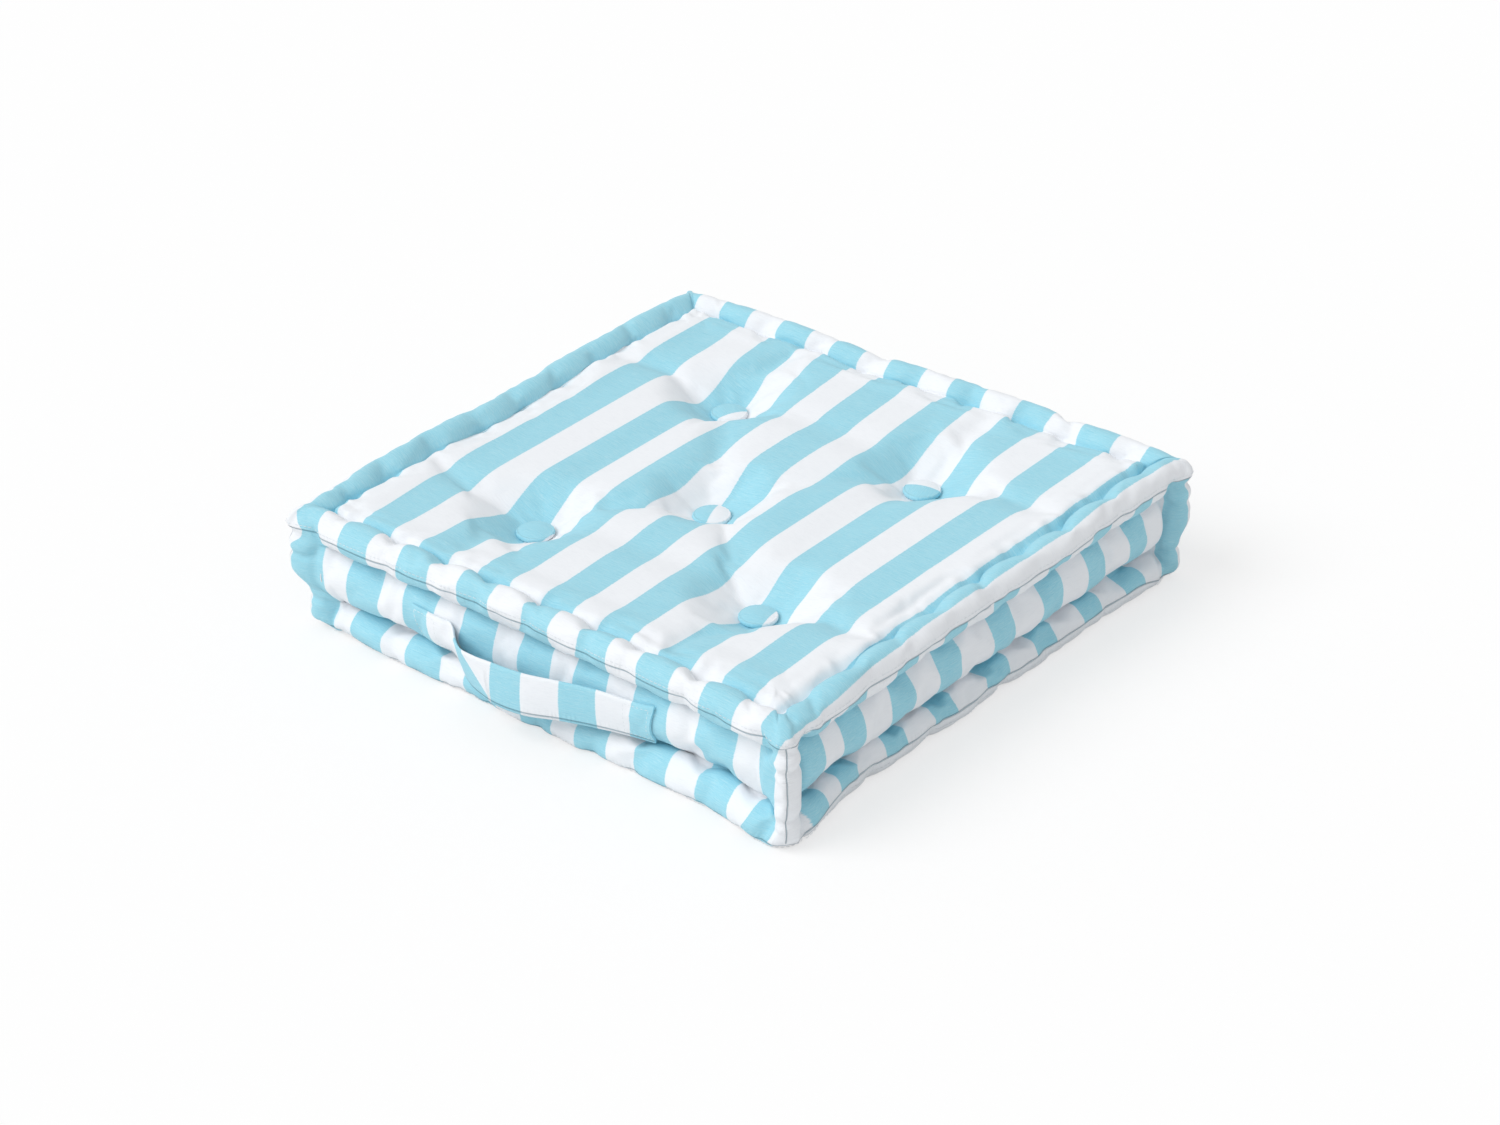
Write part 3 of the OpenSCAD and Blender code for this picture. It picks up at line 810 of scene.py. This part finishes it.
# Length along the strap, then its upper and its lower edge there
strap_stations = (
    (0.000, (0.1170, -0.2460, 0.0680), (0.1125, -0.2400, 0.0325)),
    (0.024, (0.0935, -0.2475, 0.0655), (0.0910, -0.2425, 0.0315)),
    (0.041, (0.0765, -0.2490, 0.0652), (0.0755, -0.2460, 0.0315)),
    (0.057, (0.0605, -0.2510, 0.0650), (0.0600, -0.2500, 0.0312)),
    (0.084, (0.0345, -0.2565, 0.0640), (0.0350, -0.2570, 0.0305)),
    (0.113, (0.0065, -0.2640, 0.0638), (0.0070, -0.2655, 0.0288)),
    (0.141, (-0.0215, -0.2665, 0.0638), (-0.0195, -0.2660, 0.0280)),
    (0.160, (-0.0410, -0.2665, 0.0630), (-0.0360, -0.2610, 0.0270)),
    (0.175, (-0.0555, -0.2640, 0.0625), (-0.0490, -0.2560, 0.0265)),
    (0.190, (-0.0680, -0.2560, 0.0630), (-0.0620, -0.2490, 0.0268)),
    (0.205, (-0.0800, -0.2450, 0.0638), (-0.0750, -0.2400, 0.0280)),
    (0.220, (-0.0930, -0.2380, 0.0645), (-0.0890, -0.2320, 0.0292)),
    (0.238, (-0.1100, -0.2360, 0.0650), (-0.1070, -0.2290, 0.0300)),
    (0.253, (-0.1250, -0.2350, 0.0650), (-0.1220, -0.2280, 0.0300)),
)
# Cloth coordinate of the strap at its upper and lower edge; the fold slants the stripe at the left
strap_cloth = (
    (0.000, -0.0075, -0.0110), (0.022, 0.0150, 0.0110), (0.052, 0.0415, 0.0415), (0.083, 0.0715, 0.0710),
    (0.114, 0.1000, 0.0995), (0.1410, 0.1300, 0.1250), (0.1460, 0.1348, 0.1300), (0.1490, 0.1376, 0.1620),
    (0.172, 0.1585, 0.1800), (0.190, 0.1885, 0.1905), (0.235, 0.2170, 0.2165), (0.253, 0.2330, 0.2330),
)
station_places, upper_edge, lower_edge = zip(*strap_stations)
cloth_places, upper_cloth, lower_cloth = zip(*strap_cloth)
strap_length = station_places[-1]
# The strap is made in two lengths, which meet here
strap_joint = 0.119
joint_station = 59
strap_across = 19
# Where the cloth passes from the cushion to the handle, at the right and at the left end
right_bend, left_bend = (
    [Vector((x, centre_y - 0.245, 0.045)) for x in ends] for ends in ((0.098, 0.086), (-0.104, -0.088))
)


def smooth_curve(places, values, wanted):
    """Catmull-Rom curve through values at places."""
    places, values = np.array(places), np.array(values, float)
    slopes = np.gradient(values, places, axis=0)
    index = np.clip(np.searchsorted(places, wanted) - 1, 0, len(places) - 2)
    span = (places[index + 1] - places[index])[:, None]
    t = ((wanted - places[index]) / span[:, 0])[:, None]
    t2, t3 = t * t, t * t * t
    return (
        (2 * t3 - 3 * t2 + 1) * values[index] + (t3 - 2 * t2 + t) * span * slopes[index]
        + (3 * t2 - 2 * t3) * values[index + 1] + (t3 - t2) * span * slopes[index + 1]
    )


cover_surface = BVHTree.FromPolygons([tuple(p) for p in shape], [list(map(int, f)) for f in cover_faces])


def wall_y(x, z):
    """The cover's front surface at a place, seen from the front."""
    hit = cover_surface.ray_cast(Vector((x, centre_y - 0.4, z)), Vector((0, 1, 0)))[0]
    return hit.y if hit else centre_y - groove_x


def pressed(u):
    """How far the strap is pressed flat by the stitches at its left end."""
    return smooth((u - strap_length + 0.016) / 0.014)


def strap_front(lengths):
    """Points of the strap's middle layer: stations along it, and places across it from its upper edge."""
    top, low = (smooth_curve(station_places, edge, lengths) for edge in (upper_edge, lower_edge))
    t = np.linspace(0, 1, strap_across)[None, :, None]
    points = top[:, None] * (1 - t) + low[:, None] * t
    points[..., 1] += centre_y - 0.0012 * np.sin(math.pi * t[..., 0])
    for station, length in zip(points, lengths):
        laid = strap_laid * (1 - 0.6 * pressed(length))
        for point in station:
            point[1] = min(point[1], wall_y(point[0], point[2]) - laid)
    return points


def relax(points, rounds):
    """Evens out the wall's small unevenness under the strap."""
    for _ in range(rounds):
        middle = points.copy()
        middle[1:-1] = (points[:-2] + 2 * points[1:-1] + points[2:]) / 4
        middle[:, 1:-1] = (middle[:, :-2] + 2 * middle[:, 1:-1] + middle[:, 2:]) / 4
        points = middle
    return points


def strap_piece(name, lengths):
    """A closed length of strap with rolled hems along both edges."""
    centre, u = strap_centre[lengths], strap_lengths[lengths]
    t = np.linspace(0, 1, strap_across)
    hem = np.exp(-((np.minimum(t, 1 - t) * strap_width - 0.0016) / 0.0016) ** 2)
    half_thick = (strap_thickness + (strap_hem - strap_thickness) * hem) / 2
    half_thick[[0, -1]] = strap_edge / 2
    half_thick = (1 - 0.65 * pressed(u))[:, None] * half_thick
    raised = strap_normals[lengths] * half_thick[..., None]
    loop = np.concatenate((centre + raised, (centre - raised)[:, ::-1]), axis=1)
    count, around = loop.shape[:2]
    upper, lower = (np.interp(u, cloth_places, edge) for edge in (upper_cloth, lower_cloth))
    shares = np.concatenate((t, t[::-1]))
    faces, coordinates, seams = [], [], []

    def cloth(i, j):
        return upper[i] * (1 - shares[j]) + lower[i] * shares[j], -shares[j] * strap_width

    def seam(i, j):
        down = shares[j] * strap_width
        return u[i], seam_far if down < strap_width / 2 else strap_width - down - strap_stitching

    for i in range(count - 1):
        for j in range(around):
            corners = [(i, j), (i, (j + 1) % around), (i + 1, (j + 1) % around), (i + 1, j)]
            faces.append([a * around + b for a, b in corners])
            coordinates.append([cloth(*corner) for corner in corners])
            seams.append([seam(*corner) for corner in corners])
    for i in (0, count - 1):
        for j in range(strap_across - 1):
            cap = [j, j + 1, around - 2 - j, around - 1 - j]
            if i == 0:
                cap[1:] = cap[:0:-1]
            faces.append([i * around + k for k in cap])
            coordinates.append([cloth(i, k) for k in cap])
            seams.append([(u[i], seam_far)] * 4)
    piece = canvas_mesh(name, loop.reshape(-1, 3), faces, coordinates, seams)
    bm = bmesh.new()
    bm.from_mesh(piece.data)
    bmesh.ops.recalc_face_normals(bm, faces=bm.faces)
    # The two halves meet face to face, so their cut ends stay crisp
    ends = {face.index for face in bm.faces if len({vert.index // around for vert in face.verts}) == 1}
    for edge in bm.edges:
        edge.smooth = len({face.index in ends for face in edge.link_faces}) == 1
    bm.to_mesh(piece.data)
    bm.free()
    piece.data.materials.append(canvas)
    return piece


strap_lengths = np.concatenate((
    np.linspace(0, strap_joint, joint_station + 1), np.linspace(strap_joint, strap_length, 68)[1:],
))
strap_centre = relax(strap_front(strap_lengths), 2)
strap_normals = np.cross(np.gradient(strap_centre, axis=0), np.gradient(strap_centre, axis=1))
strap_normals /= np.linalg.norm(strap_normals, axis=-1, keepdims=True)

for name, lengths, (start, end), stands_for in (
    ("handle_right_half", np.arange(joint_station + 1), right_bend, ("handle_right_end",)),
    ("handle_left_half", np.arange(joint_station, len(strap_lengths)), left_bend,
     ("handle_left_end", "handle_strap")),
):
    half_strap = strap_piece(name, lengths)
    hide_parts(*stands_for)
    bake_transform(half_strap)

# ---- Covered buttons ---------------------------------------------------------
# Pressed metal shells covered in the same canvas, which is gathered over the rim; a back plate with
# a wire loop closes them. The tufting twine runs through the loops.
button_r = 0.015
button_height = 0.0065
button_rim_r = 0.0026
button_mouth_r = button_r - 0.0045
button_rings = 14
button_around = 96
gathers = 26
gather_height = 0.00016
# For each button on top: the place of its cloth across the stripes and the turn of the stripes
button_cloth = ((-0.002, 0), (0.0065, -25), (0.0125, 20), (0.0120, 105), (0.0030, 10))


def button_profile():
    """Distance out and height of the cover from the crown over the rim to the mouth under it."""
    crown = [(button_r * 0.93 * t, button_height - 0.0021 * t**2.2) for t in np.linspace(0, 1, button_rings)]
    rim = arc(button_r - button_rim_r, 0.0024, button_rim_r, 52, -90, 9)
    under = [(button_r - button_rim_r - step, 0.0) for step in (0.0010, 0.0019)]
    return np.vstack((crown, rim, under, [(button_mouth_r, 0.0008), (button_mouth_r, 0.0016)]))


def button_mesh(name, centre, base_z, up, cloth_place, turn):
    profile = button_profile()
    length = run_length(profile)
    angle = np.arange(button_around) * math.tau / button_around
    direction = np.column_stack((np.cos(angle), np.sin(angle)))
    seeded = np.random.default_rng(int(abs(centre[0]) * 1e5) + 3)
    uneven = sum(
        seeded.uniform(0.3, 1) * np.cos(n * angle + seeded.uniform(0, math.tau))
        for n in (gathers - 5, gathers, gathers + 4)
    )
    points, flat = [[[0, 0, profile[0][1]]]], [[[0, 0]]]
    for (r, z), reach in zip(profile[1:], length[1:]):
        radius = r + gather_height * uneven * smooth((reach - 0.0115) / 0.004)
        points.append(np.column_stack((radius[:, None] * direction, np.full(button_around, z))))
        flat.append(reach * direction)
    points, flat = np.vstack(points), np.vstack(flat)
    points[:, 2] = base_z + points[:, 2] * (1 if up else -1)
    points[:, :2] += centre
    following = [(j, (j + 1) % button_around) for j in range(button_around)]
    faces = [[0, 1 + j, 1 + k] for j, k in following]
    for a in range(1, len(points) - button_around, button_around):
        b = a + button_around
        faces += [[a + j, b + j, b + k, a + k] for j, k in following]
    if not up:
        faces = [face[::-1] for face in faces]
    c, d = math.cos(math.radians(turn)), math.sin(math.radians(turn))
    u, v = flat[:, 0] * c + flat[:, 1] * d + cloth_place, flat[:, 1] * c - flat[:, 0] * d
    cloth = [(u[i], v[i]) for face in faces for i in face]
    made = canvas_mesh(name, points, faces, cloth, [(0.0, seam_far)] * len(cloth))
    made.data.materials.append(canvas)
    return made


for number, (cloth_place, turn) in enumerate(button_cloth, 1):
    for level in ("top", "bottom"):
        node = f"{level}_button_{number}_cover"
        low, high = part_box(node)
        up = level == "top"
        button = button_mesh(f"{node}_cloth", ((low.x + high.x) / 2, (low.y + high.y) / 2),
                             low.z if up else high.z, up, cloth_place, turn)
        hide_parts(node)
        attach(button, "cushion")


# ---- Sewing and quilting threads ------------------------------------------------
# White cotton thread, two plies twisted. Short machine stitches run beside the panels' seams and round
# the handle's sewn ends; long hand stitches of doubled thread pinch the rolls and the upright corners.
def twisted_thread(name, base, shade, ply_mm):
    material = bpy.data.materials.new(name)
    make = fresh_nodes(material)
    mm = make.scaled(make.add("ShaderNodeTexCoord").outputs["Object"], (1000, 1000, 1000))
    # The plies turn round the thread, so their shadows lie aslant
    slant = make.add("ShaderNodeVectorMath", {0: mm, 1: (0.6, 0.6, 0.53)}, operation="DOT_PRODUCT")
    ply = make.maths("SINE", make.times(slant.outputs["Value"], math.tau / ply_mm))
    ply = make.times(make.plus(ply, 1), 0.5)
    # Painted shade in the grooves between the plies, mixed with random tone of the thread
    ply_shade_and_tone = make.plus(make.times(ply, 0.6), make.times(make.noise(mm, 4.0), 0.4))
    shader = make.add("ShaderNodeBsdfPrincipled", {
        "Base Color": make.mix(ply_shade_and_tone, shade, base), "Roughness": 0.75, "Sheen Weight": 0.1,
        "Normal": make.add("ShaderNodeBump", {"Height": ply, "Strength": 0.6, "Distance": 0.0002}),
    })
    make.add("ShaderNodeOutputMaterial", {"Surface": shader})
    return material


thread = twisted_thread("white_cotton_thread", "#F4F6F8", "#D3DDE3", 0.8)


def stitch_row_tree():
    """Lays a bowed length of thread on each point, turned along its stitch and standing on the cloth."""
    tree = bpy.data.node_groups.new("row_of_stitches", "GeometryNodeTree")
    for name, kind in (
        ("Places", "Geometry"), ("Stitch length", "Float"), ("Thread radius", "Float"), ("Bow", "Float"),
        ("Unevenness", "Float"), ("Seed", "Int"), ("Thread", "Material"),
    ):
        tree.interface.new_socket(name, in_out="INPUT", socket_type="NodeSocket" + kind)
    tree.interface.new_socket("Stitches", in_out="OUTPUT", socket_type="NodeSocketGeometry")
    make = Nodes(tree)
    given = make.add("NodeGroupInput").outputs
    reach, radius = make.times(given["Stitch length"], 0.5), given["Thread radius"]
    sunk = make.times(radius, -1.2)
    bow = make.add("GeometryNodeCurveQuadraticBezier", {
        "Start": make.add("ShaderNodeCombineXYZ", {0: make.times(reach, -1.0), 2: sunk}),
        "Middle": make.add("ShaderNodeCombineXYZ", {2: make.times(given["Bow"], 2.0)}),
        "End": make.add("ShaderNodeCombineXYZ", {0: reach, 2: sunk}), "Resolution": 5,
    })
    circle = make.add("GeometryNodeCurvePrimitiveCircle", {"Radius": radius, "Resolution": 6})
    length = make.add("GeometryNodeCurveToMesh", {"Curve": bow, "Profile Curve": circle, "Fill Caps": True})
    rounded = make.add("GeometryNodeSetShadeSmooth", {0: length})
    along, outward = (
        make.add("GeometryNodeInputNamedAttribute", {"Name": name}, data_type="FLOAT_VECTOR")
        for name in ("along", "outward")
    )
    laid = make.add("FunctionNodeAlignRotationToVector", {"Vector": along}, axis="X")
    upright = make.add("FunctionNodeAlignRotationToVector", {"Rotation": laid, "Vector": outward},
                       axis="Z", pivot_axis="X")
    chance_turn = make.add("FunctionNodeRandomValue", {2: -1.0, 3: 1.0, 8: given["Seed"]}, data_type="FLOAT")
    turn = make.times(chance_turn.outputs[1], given["Unevenness"])
    askew = make.add("FunctionNodeAxisAngleToRotation", {"Angle": turn, "Axis": (0, 0, 1)})
    turned = make.add("FunctionNodeRotateRotation", {"Rotation": upright, "Rotate By": askew},
                      rotation_space="LOCAL")
    size = make.add("ShaderNodeCombineXYZ", {0: make.plus(turn, 1.0), 1: 1.0, 2: 1.0})
    laid_out = make.add("GeometryNodeInstanceOnPoints", {
        "Points": given["Places"], "Instance": rounded, "Rotation": turned, "Scale": size,
    })
    whole = make.add("GeometryNodeRealizeInstances", {0: laid_out})
    coloured = make.add("GeometryNodeSetMaterial", {"Geometry": whole, "Material": given["Thread"]})
    make.add("NodeGroupOutput", {0: coloured})
    return tree


stitch_row = stitch_row_tree()
stitch_inputs = {
    item.name: item.identifier for item in stitch_row.interface.items_tree if item.in_out == "INPUT"
}


def sew(name, places, length, radius, bow, unevenness, seed):
    """Stitches along a row of (point, direction of the stitch, outward direction of the cloth)."""
    points, along, outward = (np.array(part, np.float32).reshape(-1, 3) for part in zip(*places))
    made = mesh_object(name, points, [])
    for key, values in (("along", along), ("outward", outward)):
        made.data.attributes.new(key, "FLOAT_VECTOR", "POINT").data.foreach_set("vector", values.ravel())
    modifier = made.modifiers.new("Stitches", "NODES")
    modifier.node_group = stitch_row
    for key, value in (("Stitch length", length), ("Thread radius", radius), ("Bow", bow),
                       ("Unevenness", unevenness), ("Seed", seed), ("Thread", thread)):
        modifier[stitch_inputs[key]] = value
    sewn = bpy.data.meshes.new_from_object(made.evaluated_get(bpy.context.evaluated_depsgraph_get()))
    made.modifiers.clear()
    made.data = sewn
    return made


def unit(vector):
    return vector / np.linalg.norm(vector)


ring_points = shape[:band_count].reshape(rows, ring, 3)
ring_normals = read_vertices(cover.data, "normal")[:band_count].reshape(rows, ring, 3)


def pinch_row(row, lift):
    """Places of the hand stitches along one groove, on all four sides."""
    places = []
    for side in range(4):
        line = ring_points[row, side * columns:(side + 1) * columns]
        s = to_side(side, line[:, 0], line[:, 1])[0]
        for place in pinch_places[side]:
            here = side * columns + int(np.argmin(np.abs(s - place)))
            along = unit(ring_points[row, (here + 2) % ring] - ring_points[row, here - 2])
            outward = ring_normals[row, here]
            places.append((ring_points[row, here] + outward * lift, along, outward))
    return places


hand_stitch = 0.007
hand_thread_r = 0.0006
for seed, (node, row) in enumerate((
    ("top_groove_stitches", 0), ("upper_wall_stitches", upper_groove_row),
    ("lower_wall_stitches", lower_groove_row), ("bottom_groove_stitches", rows - 1),
)):
    pinches = sew(f"{node}_thread", pinch_row(row, 0.0004), hand_stitch, hand_thread_r, 0.0003, 0.12, seed)
    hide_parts(node)
    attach(pinches, "cushion")

upright_places = []
for side in range(4):
    for column in groove_columns:
        here = side * columns + column
        along = unit(ring_points[middle_row + 2, here] - ring_points[middle_row - 2, here])
        outward = ring_normals[middle_row, here]
        upright_places.append((ring_points[middle_row, here] + 0.0002 * outward, along, outward))
corner_pinches = sew("corner_stitches_thread", upright_places, hand_stitch, hand_thread_r, 0.0002, 0.05, 11)
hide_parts("corner_stitches")
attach(corner_pinches, "cushion")

# Machine stitches beside the seams, 2.6 mm long and 4 mm apart
seam_stitch = 0.0026
seam_thread_r = 0.00022
seam_bow = 0.0001
seam_unevenness = 0.04
seam_pitch = 0.004


def seam_row(row):
    """Places of machine stitches all round the cover along one row of its cloth."""
    line, facing = (np.vstack((values[row], values[row][:1])) for values in (ring_points, ring_normals))
    reach = run_length(line)

    def at(places, values):
        return np.column_stack([np.interp(places, reach, values[:, axis]) for axis in range(3)])

    wanted = np.arange(0, reach[-1] - seam_pitch / 2, seam_pitch)
    found = zip(at(wanted, line), at(wanted + 0.001, line), at(wanted, facing))
    return [(p + 0.0001 * n, unit(q - p), unit(n)) for p, q, n in found]


seam_stitches = sew("seam_stitches", seam_row(top_seam_row - 1) + seam_row(bottom_seam_row + 1),
                    seam_stitch, seam_thread_r, seam_bow, seam_unevenness, 21)
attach(seam_stitches, "cushion")


def strap_place(u, t, lengthwise):
    """A stitch on the strap's outer face, u along the strap and t across it."""
    i = int(np.clip(np.searchsorted(strap_lengths, u), 1, len(strap_lengths) - 2))
    j = t * (strap_across - 1)
    low = min(int(j), strap_across - 2)
    share = j - low
    normal = unit(strap_normals[i, low])
    here, across = strap_centre[i, low], strap_centre[i, low + 1]
    along = strap_centre[i + 1, low] - strap_centre[i - 1, low] if lengthwise else across - here
    thick = strap_face - 0.0006 * float(pressed(u))
    return here * (1 - share) + across * share + normal * thick, unit(along), normal


box_edge = 0.0040 / strap_width
for node, (near, far), (start, end) in (
    ("handle_right_stitching", (0.0035, 0.0275), right_bend),
    ("handle_left_stitching", (0.2255, 0.2495), left_bend),
):
    box = [
        strap_place(u, t, True) for t in (box_edge, 1 - box_edge)
        for u in np.arange(near + 0.002, far, seam_pitch)
    ]
    box += [
        strap_place(u, t, False) for u in (near, far)
        for t in np.arange(box_edge + 0.05, 1 - box_edge, seam_pitch / strap_width)
    ]
    box_stitches = sew(f"{node}_thread", box, seam_stitch, seam_thread_r, seam_bow, seam_unevenness, 31)
    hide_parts(node)
    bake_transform(box_stitches)

# ---- Tufting twine and button metal ----------------------------------------------
# Waxed linen twine draws each pair of buttons together through the filling. The buttons' shells and
# backs are pressed from tinned steel sheet, with loops of tinned wire in the backs.
twine = twisted_thread("waxed_linen_twine", "#E9E1CE", "#B7AA8C", 1.6)
tinned = bpy.data.materials.new("tinned_pressed_steel")
make = fresh_nodes(tinned)
place = make.add("ShaderNodeTexCoord").outputs["Object"]
# Tin freezes in soft spangles about 3 mm across, which change how sharp its shine is
spangle = make.add("ShaderNodeTexVoronoi", {"Vector": place, "Scale": 330.0}).outputs["Distance"]
shader = make.add("ShaderNodeBsdfPrincipled", {
    "Base Color": make.mix(make.noise(place, 120.0, 3.0), "#C9C8C4", "#B9B7B0"),
    "Roughness": make.ramp(spangle, 0.0, 1.0, 0.26, 0.42), "Metallic": 1.0,
})
make.add("ShaderNodeOutputMaterial", {"Surface": shader})
for name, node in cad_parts.items():
    if "twine" in name or name.endswith(("_shell", "_back")):
        node.data.materials.clear()
        node.data.materials.append(twine if "twine" in name else tinned)

# ---- Floor, light and camera ----------------------------------------------
# A pale studio floor under a large soft lamp on the left and a white room.
floor_reach = 30.0
floor_z = -0.0005
corners = [(x * floor_reach, y * floor_reach, floor_z) for x, y in ((-1, -1), (1, -1), (1, 1), (-1, 1))]
floor = mesh_object("floor", corners, [(0, 1, 2, 3)])
floor_paint = bpy.data.materials.new("matt_white_floor")
make = fresh_nodes(floor_paint)
# The camera sees the floor lit up from within, like a light table, so the shadow stays faint
seen = make.add("ShaderNodeLightPath").outputs["Is Camera Ray"]
diffuse = make.add("ShaderNodeBsdfDiffuse", {"Color": make.mix(seen, "#F2F2F2", "#A8A8A8")})
glow = make.add("ShaderNodeEmission", {"Strength": make.times(seen, 0.60)})
both = make.add("ShaderNodeAddShader", {0: diffuse, 1: glow})
make.add("ShaderNodeOutputMaterial", {"Surface": both})
floor.data.materials.append(floor_paint)

world = bpy.data.worlds.new("white_room")
bpy.context.scene.world = world
make = fresh_nodes(world)
seen = make.add("ShaderNodeLightPath").outputs["Is Camera Ray"]
level = make.add("ShaderNodeMix", {"Factor": seen, 2: 0.645, 3: 1.0}, data_type="FLOAT")
room = make.add("ShaderNodeBackground", {"Strength": level, "Color": (1, 1, 1, 1)})
make.add("ShaderNodeOutputWorld", {"Surface": room})

# One broad lamp, so far off that it lights the whole floor alike
softbox = bpy.data.lights.new("softbox", "SUN")
softbox.energy = 0.49 * math.pi
softbox.angle = math.radians(40)
lamp_direction = Vector((-0.366, -0.575, 0.731)).normalized()
lamp_object = bpy.data.objects.new("softbox", softbox)
lamp_object.location = lamp_direction * 3
lamp_object.rotation_mode = "QUATERNION"
lamp_object.rotation_quaternion = lamp_direction.to_track_quat("Z", "Y")
bpy.context.scene.collection.objects.link(lamp_object)

azimuth, elevation, roll = (math.radians(v) for v in (39.06, 29.64, -0.73))
distance = 3.250
back = Vector((
    math.sin(azimuth) * math.cos(elevation),
    -math.cos(azimuth) * math.cos(elevation),
    math.sin(elevation),
))
right = Vector((math.cos(azimuth), math.sin(azimuth), 0))
up = back.cross(right)
right, up = right * math.cos(roll) + up * math.sin(roll), up * math.cos(roll) - right * math.sin(roll)
lens = bpy.data.cameras.new("camera")
lens.lens = 100.8
lens.sensor_width = 36
lens.clip_end = 100
camera = bpy.data.objects.new("camera", lens)
target = Vector((0, centre_y, 0.050))
place = target + back * distance + right * 0.0059 - up * 0.01276
axes = Matrix((right, up, back)).transposed()
camera.matrix_world = Matrix.Translation(place) @ axes.to_4x4()
bpy.context.scene.collection.objects.link(camera)
bpy.context.scene.camera = camera
bpy.context.scene.view_settings.view_transform = "Standard"
